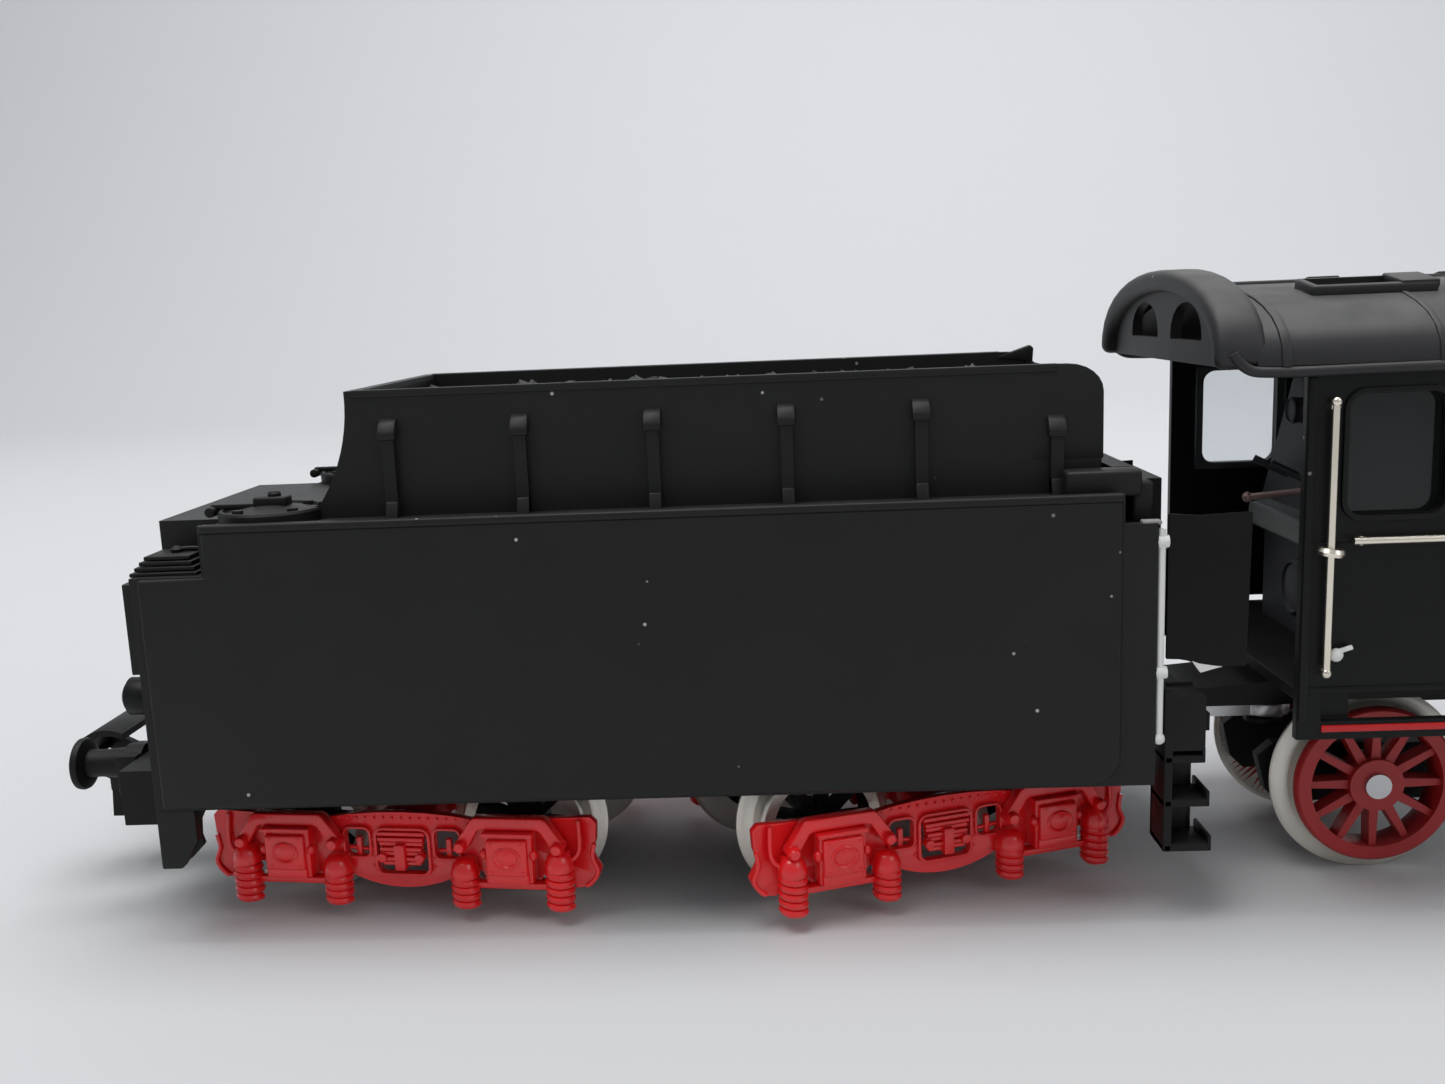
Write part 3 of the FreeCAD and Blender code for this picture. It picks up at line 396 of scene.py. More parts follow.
def newGroup(name, inputs, outputs):
    group = bpy.data.node_groups.new(name, "ShaderNodeTree")
    for label, kind, value in inputs:
        socket = group.interface.new_socket(name=label, in_out="INPUT", socket_type=kind)
        socket.default_value = value
    for label, kind in outputs:
        group.interface.new_socket(name=label, in_out="OUTPUT", socket_type=kind)
    group.nodes.new("NodeGroupInput").name = "in"
    group.nodes.new("NodeGroupOutput").name = "out"
    return group


def addNode(tree, kind, **values):
    node = tree.nodes.new(kind)
    for key, value in values.items():
        setattr(node, key, value)
    return node


# fine moulded grain: a small change of tone, roughness and height
def makeGrainGroup():
    group = newGroup("mouldedGrain",
                     [("Colour", "NodeSocketColor", (0.02, 0.02, 0.02, 1)),
                      ("Roughness", "NodeSocketFloat", 0.4), ("Scale", "NodeSocketFloat", 3000.0),
                      ("Depth", "NodeSocketFloat", 0.3),
                      ("Spread", "NodeSocketFloat", 0.08)],
                     [("Colour", "NodeSocketColor"), ("Roughness", "NodeSocketFloat"),
                      ("Height", "NodeSocketFloat")])
    node, link = group.nodes, group.links.new
    place = addNode(group, "ShaderNodeTexCoord")
    fine = addNode(group, "ShaderNodeTexNoise")
    fine.inputs["Detail"].default_value = 3
    broad = addNode(group, "ShaderNodeTexNoise")
    broad.inputs["Scale"].default_value = 160
    broad.inputs["Detail"].default_value = 4
    link(place.outputs["Object"], fine.inputs["Vector"])
    link(place.outputs["Object"], broad.inputs["Vector"])
    link(node["in"].outputs["Scale"], fine.inputs["Scale"])
    lift = addNode(group, "ShaderNodeMath", operation="MULTIPLY_ADD")
    link(broad.outputs["Fac"], lift.inputs[0])
    link(node["in"].outputs["Spread"], lift.inputs[1])
    link(node["in"].outputs["Roughness"], lift.inputs[2])
    tone = addNode(group, "ShaderNodeHueSaturation")
    shade = addNode(group, "ShaderNodeMapRange")
    shade.inputs["To Min"].default_value = 0.8
    shade.inputs["To Max"].default_value = 1.25
    link(broad.outputs["Fac"], shade.inputs["Value"])
    link(shade.outputs["Result"], tone.inputs["Value"])
    link(node["in"].outputs["Colour"], tone.inputs["Color"])
    deep = addNode(group, "ShaderNodeMath", operation="MULTIPLY")
    link(fine.outputs["Fac"], deep.inputs[0])
    link(node["in"].outputs["Depth"], deep.inputs[1])
    link(tone.outputs["Color"], node["out"].inputs["Colour"])
    link(lift.outputs["Value"], node["out"].inputs["Roughness"])
    link(deep.outputs["Value"], node["out"].inputs["Height"])
    return group


# pale dust: a few specks everywhere and a thin film on faces that look up
def makeDustGroup():
    group = newGroup("paleDust",
                     [("Colour", "NodeSocketColor", (0.02, 0.02, 0.02, 1)),
                      ("Dust", "NodeSocketColor", (0.5, 0.48, 0.44, 1)),
                      ("Specks", "NodeSocketFloat", 0.5), ("Film", "NodeSocketFloat", 0.2)],
                     [("Colour", "NodeSocketColor"), ("Mask", "NodeSocketFloat")])
    node, link = group.nodes, group.links.new
    place = addNode(group, "ShaderNodeTexCoord")
    cells = addNode(group, "ShaderNodeTexVoronoi")
    cells.inputs["Scale"].default_value = 420
    link(place.outputs["Object"], cells.inputs["Vector"])
    dot = addNode(group, "ShaderNodeMapRange")
    dot.inputs["From Min"].default_value = 0.075
    dot.inputs["From Max"].default_value = 0.045
    link(cells.outputs["Distance"], dot.inputs["Value"])
    patch = addNode(group, "ShaderNodeTexNoise")
    patch.inputs["Scale"].default_value = 240
    link(place.outputs["Object"], patch.inputs["Vector"])
    some = addNode(group, "ShaderNodeMapRange")
    some.inputs["From Min"].default_value = 0.56
    some.inputs["From Max"].default_value = 0.62
    link(patch.outputs["Fac"], some.inputs["Value"])
    both = addNode(group, "ShaderNodeMath", operation="MULTIPLY")
    link(dot.outputs["Result"], both.inputs[0])
    link(some.outputs["Result"], both.inputs[1])
    speck = addNode(group, "ShaderNodeMath", operation="MULTIPLY")
    link(both.outputs["Value"], speck.inputs[0])
    link(node["in"].outputs["Specks"], speck.inputs[1])
    facing = addNode(group, "ShaderNodeNewGeometry")
    split = addNode(group, "ShaderNodeSeparateXYZ")
    link(facing.outputs["Normal"], split.inputs["Vector"])
    up = addNode(group, "ShaderNodeMapRange")
    up.inputs["From Min"].default_value = 0.5
    up.inputs["From Max"].default_value = 1.0
    link(split.outputs["Z"], up.inputs["Value"])
    film = addNode(group, "ShaderNodeMath", operation="MULTIPLY")
    link(up.outputs["Result"], film.inputs[0])
    link(patch.outputs["Fac"], film.inputs[1])
    thin = addNode(group, "ShaderNodeMath", operation="MULTIPLY")
    link(film.outputs["Value"], thin.inputs[0])
    link(node["in"].outputs["Film"], thin.inputs[1])
    total = addNode(group, "ShaderNodeMath", operation="MAXIMUM")
    link(speck.outputs["Value"], total.inputs[0])
    link(thin.outputs["Value"], total.inputs[1])
    blend = addNode(group, "ShaderNodeMix", data_type="RGBA")
    link(total.outputs["Value"], blend.inputs["Factor"])
    link(node["in"].outputs["Colour"], blend.inputs["A"])
    link(node["in"].outputs["Dust"], blend.inputs["B"])
    link(blend.outputs["Result"], node["out"].inputs["Colour"])
    link(total.outputs["Value"], node["out"].inputs["Mask"])
    return group


grainGroup = makeGrainGroup()
dustGroup = makeDustGroup()


def makeFinish(name, colour, roughness, metallic=0.0, grainScale=3000, grainDepth=0.3, spread=0.08,
               bump=0.15, specks=0.0, film=0.0, coat=0.0, dustColour=(0.5, 0.48, 0.44), shine=0.5):
    material = bpy.data.materials.new(name)
    material.use_nodes = True
    tree = material.node_tree
    shader = tree.nodes["Principled BSDF"]
    shader.inputs["Metallic"].default_value = metallic
    shader.inputs["Specular IOR Level"].default_value = shine
    shader.inputs["Coat Weight"].default_value = coat
    shader.inputs["Coat Roughness"].default_value = 0.12
    grain = addNode(tree, "ShaderNodeGroup", node_tree=grainGroup)
    grain.inputs["Colour"].default_value = (*colour, 1)
    grain.inputs["Roughness"].default_value = roughness
    grain.inputs["Scale"].default_value = grainScale
    grain.inputs["Depth"].default_value = grainDepth
    grain.inputs["Spread"].default_value = spread
    relief = addNode(tree, "ShaderNodeBump")
    relief.inputs["Strength"].default_value = bump
    relief.inputs["Distance"].default_value = 0.0001
    link = tree.links.new
    link(grain.outputs["Height"], relief.inputs["Height"])
    link(relief.outputs["Normal"], shader.inputs["Normal"])
    link(grain.outputs["Roughness"], shader.inputs["Roughness"])
    if specks or film:
        dust = addNode(tree, "ShaderNodeGroup", node_tree=dustGroup)
        dust.inputs["Dust"].default_value = (*dustColour, 1)
        dust.inputs["Specks"].default_value = specks
        dust.inputs["Film"].default_value = film
        link(grain.outputs["Colour"], dust.inputs["Colour"])
        link(dust.outputs["Colour"], shader.inputs["Base Color"])
    else:
        link(grain.outputs["Colour"], shader.inputs["Base Color"])
    return material


def makeGlass(name, tint, clear):
    material = bpy.data.materials.new(name)
    material.use_nodes = True
    shader = material.node_tree.nodes["Principled BSDF"]
    shader.inputs["Base Color"].default_value = (*tint, 1)
    shader.inputs["Roughness"].default_value = 0.08
    shader.inputs["Transmission Weight"].default_value = clear
    shader.inputs["IOR"].default_value = 1.45
    return material


blackBody = makeFinish("satinBlackPlastic", (0.0042, 0.0046, 0.0045), 0.38, specks=0.7, film=0.03, bump=0.12,
                       shine=0.22)
tenderBlack = makeFinish("satinTenderPlastic", (0.0125, 0.0125, 0.012), 0.40, grainScale=2200, bump=0.25,
                         specks=1.0, film=0.05, shine=0.24, spread=0.12)
blackDeck = makeFinish("dustyBlackPlastic", (0.006, 0.006, 0.006), 0.45, specks=1.0, film=0.1, bump=0.2,
                       shine=0.25)
blackFrame = makeFinish("mattBlackPlastic", (0.0055, 0.0055, 0.0057), 0.48, film=0.04, bump=0.25, shine=0.25)
redPlastic = makeFinish("glossRedPlastic", (0.78, 0.009, 0.012), 0.24, grainScale=1500, bump=0.12, coat=0.45)
redPaint = makeFinish("redWheelPaint", (0.36, 0.012, 0.014), 0.38, specks=0.3, film=0.1, bump=0.15)
redStripe = makeFinish("redLinePaint", (0.55, 0.01, 0.012), 0.35, bump=0.1)
brightTyre = makeFinish("brightTyreMetal", (0.74, 0.71, 0.64), 0.30, metallic=0.8, grainScale=5000,
                        grainDepth=0.5, spread=0.25, bump=0.3, film=0.3, dustColour=(0.3, 0.25, 0.18))
nickelWire = makeFinish("nickelWire", (0.86, 0.80, 0.68), 0.22, metallic=1.0, grainScale=5000, bump=0.1)
whitePaint = makeFinish("whiteLinePaint", (0.80, 0.80, 0.77), 0.42, bump=0.3, spread=0.2)
plainSteel = makeFinish("turnedSteel", (0.55, 0.55, 0.56), 0.32, metallic=1.0, bump=0.15)
greyCast = makeFinish("greyCastMetal", (0.045, 0.047, 0.052), 0.5, metallic=0.2, grainScale=2200, bump=0.35,
                      film=0.1)
paleCast = makeFinish("paleCastMetal", (0.22, 0.225, 0.22), 0.48, metallic=0.4, grainScale=2200, bump=0.4)
brassGear = makeFinish("machinedBrass", (0.72, 0.53, 0.22), 0.3, metallic=1.0)
coalBlack = makeFinish("coalPieces", (0.016, 0.016, 0.017), 0.42, grainScale=1500, bump=0.6, spread=0.3,
                       specks=0.5, film=0.05)
lampLens = makeFinish("lampLens", (0.62, 0.62, 0.6), 0.12, coat=1.0)
blackFlap = makeFinish("blackCard", (0.004, 0.004, 0.004), 0.5, bump=0.25, shine=0.2)
paperWhite = makeFinish("tornPaper", (0.78, 0.77, 0.74), 0.8, bump=0.4)
chippedGrey = makeFinish("chippedGreyPaint", (0.30, 0.30, 0.29), 0.6, bump=0.8, spread=0.4)
roofGrey = makeFinish("mattRoofPlastic", (0.013, 0.013, 0.014), 0.52, bump=0.3, film=0.25, specks=0.6,
                      shine=0.5)
copperLever = makeFinish("palePinkMetal", (0.55, 0.36, 0.33), 0.35, metallic=0.5)
paneGlass = makeGlass("clearPane", (0.85, 0.88, 0.9), 0.95)
# a dark glass that is painted shade: it stands for the dark cab seen through the near pane, not for a tint
# in the glass
nearPaneShadeGlass = makeGlass("paneDarkenedAsShade", (0.012, 0.013, 0.013), 0.25)
print("finishes are made")


def coat(node, material, bevel=0.12 * mm):
    part = nodes[node]
    part.data.materials.clear()
    part.data.materials.append(material)
    if bevel:
        weld = part.modifiers.new("weld", "WELD")
        weld.merge_threshold = 0.002 * mm
        rounding = part.modifiers.new("rounding", "BEVEL")
        rounding.width = bevel
        rounding.segments = 2
        rounding.limit_method = "ANGLE"
        rounding.angle_limit = math.radians(38)
        rounding.harden_normals = True
    return part


def paintFaces(node, material, rule):
    # a second finish on the faces that the rule accepts, by their centre
    part = nodes[node]
    part.data.materials.append(material)
    index = len(part.data.materials) - 1
    for face in part.data.polygons:
        if rule(face.center):
            face.material_index = index


nodeFinishes = {
    tenderBlack: ["tender_shell", "tender_front_lockers", "tender_rear_fittings"],
    blackBody: ["tender_rear_lamps", "boiler_shell", "smokebox_door", "chimney", "boiler_domes",
                "cab_shell", "cab_roof", "cylinder_block", "smoke_deflectors",
                "running_boards", "tender_fall_plates"],
    blackDeck: ["tender_filler_lids", "tender_rear_hatches"],
    blackFrame: ["tender_chassis", "tender_front_steps", "tender_buffers", "coupler_shank", "coupler_loop",
                 "engine_frame", "front_buffers", "headlamps", "cab_floor", "trailing_truck_frame",
                 "lead_bogie_frame", "motor_housing"],
    redPlastic: ["tender_bogie_frame_rear", "tender_bogie_frame_front", "front_beam"],
    whitePaint: ["tender_front_handrails"],
    nickelWire: ["cab_handrails", "boiler_handrails"],
    plainSteel: ["tender_pivot_screws", "drawbar", "slide_bars", "crosshead_right", "crosshead_left",
                 "coupling_rod_right", "coupling_rod_left", "main_rod_right", "main_rod_left",
                 "motor_armature", "tender_weight"],
    brassGear: ["idler_gear"],
    greyCast: ["cab_backhead"],
    coalBlack: ["coal_load"],
    paneGlass: ["cab_glazing"],
}
noBevel = {"cab_glazing", "idler_gear", "motor_armature", "motor_housing", "tender_weight",
           "tender_front_handrails", "cab_handrails", "boiler_handrails"}
for material, names in nodeFinishes.items():
    for name in names:
        coat(name, material, 0 if name in noBevel else 0.12 * mm)


# Wheels: red centre, bright tyre and axle ends. Distances are from the axle's middle line.
def finishWheels(node, tread, hub, centre, yaw=0.0):
    low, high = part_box(node)
    middle = (low + high) / 2
    along = Vector((-math.sin(yaw), math.cos(yaw), 0))

    def reach(spot):
        arm = spot - middle
        return (arm - along * arm.dot(along)).length, abs(arm.dot(along))

    coat(node, centre, 0.08 * mm)
    rim = tread - (1.28 if centre is blackFrame else 0.08) * mm
    paintFaces(node, brightTyre, lambda spot: reach(spot)[0] > rim)
    if hub:
        paintFaces(node, plainSteel, lambda spot: reach(spot)[0] < hub and reach(spot)[1] > 6 * mm)


restYaw = {"rear": math.radians(-7.1), "front": math.radians(18.9)}
for number, end in ((1, "rear"), (2, "rear"), (3, "front"), (4, "front")):
    finishWheels("tender_wheelset_%d" % number, 5.75 * mm, 0.8 * mm, blackFrame, restYaw[end])
for name in ("drivers_rear", "drivers_main", "drivers_front"):
    finishWheels(name, 11.5 * mm, 0, redPaint)
for name in ("lead_wheelset_rear", "lead_wheelset_front"):
    finishWheels(name, 5.75 * mm, 0.9 * mm, redPaint)
finishWheels("trailing_wheelset", 7.0 * mm, 1.15 * mm, redPaint)
# the near pane gets the dark glass as painted shade, for the dark cab seen through it; the far pane stays
# clear
part = nodes["cab_glazing"]
part.data.materials.append(nearPaneShadeGlass)
for face in part.data.polygons:
    face.material_index = 1 if face.center.y < 0 else 0
print("the frame's parts have their finishes")

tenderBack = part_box("tender_shell")[0].x
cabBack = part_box("cab_shell")[0].x


def onTender(x, y, z):
    # tender millimetres, from its rear wall, to the frame's metres
    return (tenderBack + x * mm, y * mm, z * mm)


def onEngine(x, y, z):
    # engine millimetres, from the cab's rear edge
    return (cabBack + x * mm, y * mm, z * mm)


def scaled(points):
    return [(a * mm, b * mm) for a, b in points]


def sidePlate(points, low, high, back=tenderBack):
    # an upright outline in millimetres, pushed sideways from low to high
    return prism([(back + a * mm, b * mm) for a, b in points], low * mm, high * mm)


def boxMm(x0, x1, y0, y1, z0, z1, place=onTender):
    return startBox(place(x0, y0, z0), place(x1, y1, z1))


bogie = {
    "half": 17.4, "top": 9.3, "inner": 12.35, "outer": 13.15, "axle": 10.0, "springs": 4.2,
    "springLine": 13.75, "window": (2.3, 3.8, 7.7), "border": 0.3,
}


def bogieSheet():
    half, top = bogie["half"], bogie["top"]
    right = [(half - 0.5, top), (half, top - 0.5), (half - 0.1, 7.2), (half - 0.5, 6.2), (half - 0.1, 5.4),
             (half + 0.3, 4.7), (half, 3.9), (half - 0.6, 3.1), (15.4, 2.9), (14.8, 4.6), (12.9, 4.6),
             (12.3, 3.3), (7.7, 3.3), (7.1, 4.2), (5.2, 4.0)]
    belly = arc(0, 13.2, 10.7, -61, -119, 10)
    left = [(-a, b) for a, b in reversed(right)]
    crown = arc(0, top - 40, 40.1, 100, 80, 6)
    sheet = prism(scaled(right + belly + left + crown), bogie["inner"] * mm, bogie["outer"] * mm)
    sunkFace(sheet, lambda spot, normal: normal.y > 0.9, bogie["border"] * mm, 0.18 * mm)
    wide, low, high = bogie["window"]
    holes = [(-wide, wide, low, high, 0.6)]
    holes += [(s * 4.1 - 1.1, s * 4.1 + 1.1, 5.3, 7.8, 0.5) for s in (-1, 1)]
    cutters = [prism(scaled(roundedOutline(*hole)), 11.5 * mm, 14 * mm) for hole in holes]
    cutWith(sheet, cutters)
    return roundEdges(sheet, 0.1, 2, 40)


def windowFrame(a0, a1, b0, b1, radius, wide=0.28):
    low, high = (bogie["outer"] - 0.3) * mm, (bogie["outer"] + 0.12) * mm
    around = roundedOutline(a0 - wide, a1 + wide, b0 - wide, b1 + wide, radius + wide)
    outer = prism(scaled(around), low, high)
    inner = prism(scaled(roundedOutline(a0, a1, b0, b1, radius)), low - mm, high + mm)
    cutWith(outer, [inner])
    return roundEdges(outer, 0.08, 2, 40)


def archedBar(u):
    shape = [(-4.75, 7.15), (-3.35, 9.2), (-3.0, 9.45), (3.0, 9.45), (3.35, 9.2), (4.75, 7.15),
             (3.75, 6.65), (2.75, 8.25), (2.5, 8.35), (-2.5, 8.35), (-2.75, 8.25), (-3.75, 6.65)]
    bar = prism(scaled([(u + a, b) for a, b in shape]), 13.05 * mm, 14.25 * mm)
    pieces = [roundEdges(bar, 0.16, 3, 40)]
    for end in (-1, 1):
        pin = turnedPiece([(0, 0), (0, 0.56), (1.45, 0.56), (1.72, 0.4), (1.8, 0)],
                          inPlace(u + end * 4.25, 13.1, 6.9), (0, 1, 0), 20)
        pieces.append(pin)
    return pieces


def axlebox(u):
    body = roundEdges(startBox(inPlace(u - 2.1, 12.4, 3.75), inPlace(u + 2.1, 14.5, 8.2)),
                      0.18, 2)
    cover = startBox(inPlace(u - 1.85, 14.3, 4.55), inPlace(u + 1.75, 15.0, 7.75))
    roundEdges(cover, 0.22, 3)
    lid = roundEdges(startBox(inPlace(u - 2.25, 12.4, 7.9), inPlace(u + 2.25, 14.8, 8.3)),
                     0.12, 2)
    foot = roundEdges(startBox(inPlace(u - 1.9, 12.4, 3.7), inPlace(u + 1.8, 14.8, 4.75)),
                      0.2, 2)
    oval = turnedPiece([(0, 0.98), (0.12, 0.98), (0.2, 0.88), (0.12, 0.76),
                        (0.04, 0.7), (0.16, 0.34), (0.2, 0)], (0, 0, 0), (0, 1, 0), 24)
    oval.scale = (1.25, 1, 1)
    oval.location = inPlace(u, 14.96, 6.2)
    pick(oval)
    bpy.ops.object.transform_apply(location=True, rotation=True, scale=True)
    lugs = [ball(inPlace(u + s * 2.15, 14.3, 6.3), 0.5, (0.8, 1, 1)) for s in (-1, 1)]
    bolts = [ball(inPlace(u + s * 1.35, 15.0, z), 0.16, (1, 0.6, 1), 8, 4)
             for s in (-1, 1) for z in (4.9, 7.4)]
    keep = startBox(inPlace(u - 3.3, 12.5, 3.0), inPlace(u + 3.3, 14.0, 3.55))
    return [body, cover, lid, foot, oval, roundEdges(keep, 0.12, 2)] + lugs + bolts


def springSet(u, outside):
    line = bogie["springLine"]
    spot = (u * mm, line * mm, 0)
    top = 6.1 if outside else 5.3
    cup = turnedPiece([(top - 1.3, 0), (top - 1.3, 1.2), (top - 0.9, 1.28),
                       (top, 1.0), (top + 0.35, 0.55), (top + 0.4, 0)],
                      spot, (0, 0, 1), 20)
    seat = turnedPiece([(1.32, 0), (1.32, 0.8), (1.5, 1.0), (1.75, 0.75),
                        (1.8, 0)], spot, (0, 0, 1), 20)
    turns = 5 if outside else 4
    rise = (top - 1.1 - 1.6) / turns
    spring = coil(inPlace(u, line, 1.6), 0.92 * mm, 0.37 * mm, rise * mm, turns)
    core = startRod(inPlace(u, line, 1.5), inPlace(u, line, top), 0.7, 12)
    bracket = startBox(inPlace(u - 0.9, 12.8, top - 0.9), inPlace(u + 0.9, 14.0, top + 0.3))
    return [cup, seat, spring, core, roundEdges(bracket, 0.25, 2)]


def leafSpring():
    pieces = []
    for i in range(7):
        half = 2.15 - 0.09 * i if i < 4 else 1.95 - 0.12 * (i - 4)
        low = 7.3 - 0.44 * i
        out = 13.45 + (0.16 if i % 2 else 0)
        leaf = startBox(inPlace(-half, 12.6, low), inPlace(half, out, low + 0.34))
        pieces.append(roundEdges(leaf, 0.08, 2))
    buckle = startBox(inPlace(-0.5, 12.6, 4.35), inPlace(0.5, 14.0, 6.7))
    pieces.append(roundEdges(buckle, 0.18, 2))
    for side in (-1, 1):
        shackle = startRod(inPlace(side * 1.7, 12.7, 5.4), inPlace(side * 1.7, 13.8, 5.4), 0.42, 14)
        pieces.append(roundEdges(shackle, 0.08, 2, 50))
    return pieces


def rivets():
    spots = [(u * 0.82, 8.75) for u in range(-8, 9)]
    spots += [(s * 2.75, z) for s in (-1, 1) for z in (4.4, 5.2, 6.0, 6.8)]
    spots += [(s * 15.9, z) for s in (-1, 1) for z in (7.0, 7.7, 8.4)]
    return [ball(inPlace(u, bogie["outer"] - 0.12, z), 0.14, (1, 0.8, 1), 8, 4) for u, z in spots]


endLines = {
    "bead": [(15.9, 9.0), (16.0, 7.2), (15.9, 6.2), (15.2, 5.5), (13.9, 5.7), (13.0, 5.4)],
    "rim": [(17.2, 7.0), (16.9, 6.0), (17.2, 5.2), (17.5, 4.6), (17.1, 3.7), (16.4, 3.2)],
}


def endBeads():
    pieces = []
    for s in (-1, 1):
        line = [(s * a, b) for a, b in endLines["bead"]]
        pieces.append(wire([inPlace(a, 13.25 + 0.12 * i, b) for i, (a, b) in enumerate(line)], 0.2))
        rim = [(s * a, b) for a, b in endLines["rim"]]
        pieces.append(wire([inPlace(a, 13.25, b) for a, b in rim], 0.2))
    return pieces


def innerPosts():
    pieces = []
    for s in (-1, 1):
        post = startBox(inPlace(s * 4.1 - 0.2, 12.4, 5.3), inPlace(s * 4.1 + 0.25, 12.9, 6.9))
        pieces.append(roundEdges(post, 0.08, 2))
        rod = startRod(inPlace(s * 3.1, 12.5, 5.7), inPlace(s * 5.1, 12.5, 5.9), 0.2, 10)
        pieces.append(rod)
    return pieces


def bogieSide():
    wide, low, high = bogie["window"]
    pieces = [bogieSheet(), windowFrame(-wide, wide, low, high, 0.6)]
    pieces += [windowFrame(s * 4.1 - 1.1, s * 4.1 + 1.1, 5.3, 7.8, 0.5, 0.22) for s in (-1, 1)]
    pieces += leafSpring() + rivets() + endBeads() + innerPosts()
    for s in (-1, 1):
        u = s * bogie["axle"]
        pieces += archedBar(u) + axlebox(u)
        pieces += springSet(u - bogie["springs"], s < 0) + springSet(u + bogie["springs"], s > 0)
    return joinPieces(pieces, "bogieSide")


def bogieMiddle():
    bolster = roundEdges(startBox(inPlace(-2.4, -12.45, 7.0), inPlace(2.4, 12.45, 9.0)), 0.3)
    disc = roundEdges(startRod((0, 0, 7.0 * mm), (0, 0, 9.15 * mm), 5.0, 40), 0.3)
    stays = []
    for s in (-1, 1):
        for y in (-6.5, 6.5):
            hanger = startBox(inPlace(min(s * 2, s * 6), y - 0.5, 7.2),
                              inPlace(max(s * 2, s * 6), y + 0.5, 8.4))
            stays.append(roundEdges(hanger, 0.15))
    return [bolster, disc] + stays


def makeBogies():
    side = bogieSide()
    whole = joinPieces([side, copyOf(side, mirrorY=True)] + bogieMiddle(), "bogie")
    smooth(whole, 38)
    places = {"rear": (20.5, restYaw["rear"]), "front": (61.6, restYaw["front"])}
    for end, (x, yaw) in places.items():
        body = "tender_bogie_" + end
        piece = copyOf(whole, onTender(x, 0, 0), Matrix.Rotation(yaw, 4, "Z"))
        piece.name = piece.data.name = "bogieFrame_" + end
        dress(piece, redPlastic, body)
        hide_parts("tender_bogie_frame_" + end)
    bpy.data.objects.remove(whole)


makeBogies()
print("the tender bogies are made")


heap = {"seed": 7, "count": 330, "level": 43.9, "size": (0.7, 1.7)}


def lump(size, place, dice):
    dropSelection()
    bpy.ops.mesh.primitive_ico_sphere_add(subdivisions=1, radius=size * mm)
    piece = bpy.context.object
    for corner in piece.data.vertices:
        corner.co *= dice.uniform(0.72, 1.15)
    piece.scale = (dice.uniform(0.8, 1.2), dice.uniform(0.7, 1.1), dice.uniform(0.55, 0.9))
    piece.rotation_euler = [dice.uniform(0, 6.28) for axis in range(3)]
    piece.location = place
    return piece


def makeCoal():
    dice = random.Random(heap["seed"])
    low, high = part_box("coal_load")
    edge = 0.9 * mm
    bed = prism([(low.y, low.z), (high.y, low.z), (high.y, heap["level"] * mm - mm), (0, heap["level"] * mm),
                 (low.y, heap["level"] * mm - mm)], low.x, high.x, "x")
    pieces = [bed]
    for i in range(heap["count"]):
        x = dice.uniform(low.x + edge, high.x - edge)
        y = dice.uniform(low.y + edge, high.y - edge)
        size = dice.uniform(*heap["size"])
        rise = 0.9 * (1 - abs(y) / high.y) + dice.uniform(-0.5, 0.35)
        z = heap["level"] * mm + (rise - 0.4) * mm - 0.3 * size * mm
        pieces.append(lump(size, (x, y, z), dice))
    coal = joinPieces(pieces, "coalHeap")
    dress(coal, coalBlack, "tender")
    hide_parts("coal_load")


filler = {"place": (10.4, 13.0, 35.3), "clamps": (0.7, 2.2, 4.0, 5.5)}


def fillerLid():
    x, y, z = filler["place"]
    disc = turnedPiece([(0, 0), (0, 4.3), (0.85, 4.3), (1.05, 4.15),
                        (1.05, 3.9), (0.8, 3.75), (0.95, 2.9),
                        (1.3, 1.2), (1.35, 0)], onTender(x, y, z), (0, 0, 1), 56)
    block = roundEdges(boxMm(x - 1.3, x + 1.5, y - 0.85, y + 0.85, z + 1.0, z + 2.0), 0.22, 3)
    knob = turnedPiece([(0, 0.5), (0.3, 0.55), (0.5, 0.4), (0.55, 0)],
                       onTender(x + 0.3, y, z + 1.9), (0, 0, 1), 20)
    arm = roundEdges(boxMm(x - 5.1, x - 1.0, y - 0.32, y + 0.32, z + 0.95, z + 1.45), 0.14, 2)
    hinge = roundEdges(startRod(onTender(x - 4.9, y - 1.1, z + 0.9),
                                onTender(x - 4.9, y + 1.1, z + 0.9), 0.42), 0.1)
    clamps = []
    for turn in filler["clamps"]:
        u, v = x + 3.2 * math.cos(turn), y + 3.2 * math.sin(turn)
        clamps.append(roundEdges(boxMm(u - 0.4, u + 0.4, v - 0.3, v + 0.3, z + 0.7, z + 1.25), 0.12))
    wall = boxMm(13.65, 20, -13.65, 13.65, z - 1, z + 9)
    return cutWith(joinPieces([disc, block, knob, arm, hinge] + clamps, "lid"), [wall])


def rearHatch():
    z = 31.6
    steps = []
    for i in range(4):
        steps.append(roundEdges(boxMm(-0.3 + 0.3 * i, 5.3 - 0.3 * i, 12.1 + 0.2 * i, 17.2 - 0.3 * i,
                                      z + 0.4 * i - 0.05, z + 0.4 * i + 0.28), 0.1, 2))
    core = boxMm(1.2, 4.2, 12.8, 15.8, z - 0.05, z + 1.45)
    knob = turnedPiece([(0, 0.42), (0.35, 0.5), (0.6, 0.25), (0.62, 0)],
                       onTender(2.6, 14.4, z + 1.4), (0, 0, 1), 18)
    lever = wire([onTender(2.6, 14.4, z + 1.7), onTender(3.6, 14.0, z + 1.8),
                  onTender(5.0, 13.6, z + 1.5)], 0.2)
    return joinPieces(steps + [core, knob, lever], "hatch")


bufferSpot = {"x": -4.0, "y": 10.1, "z": 13.6}


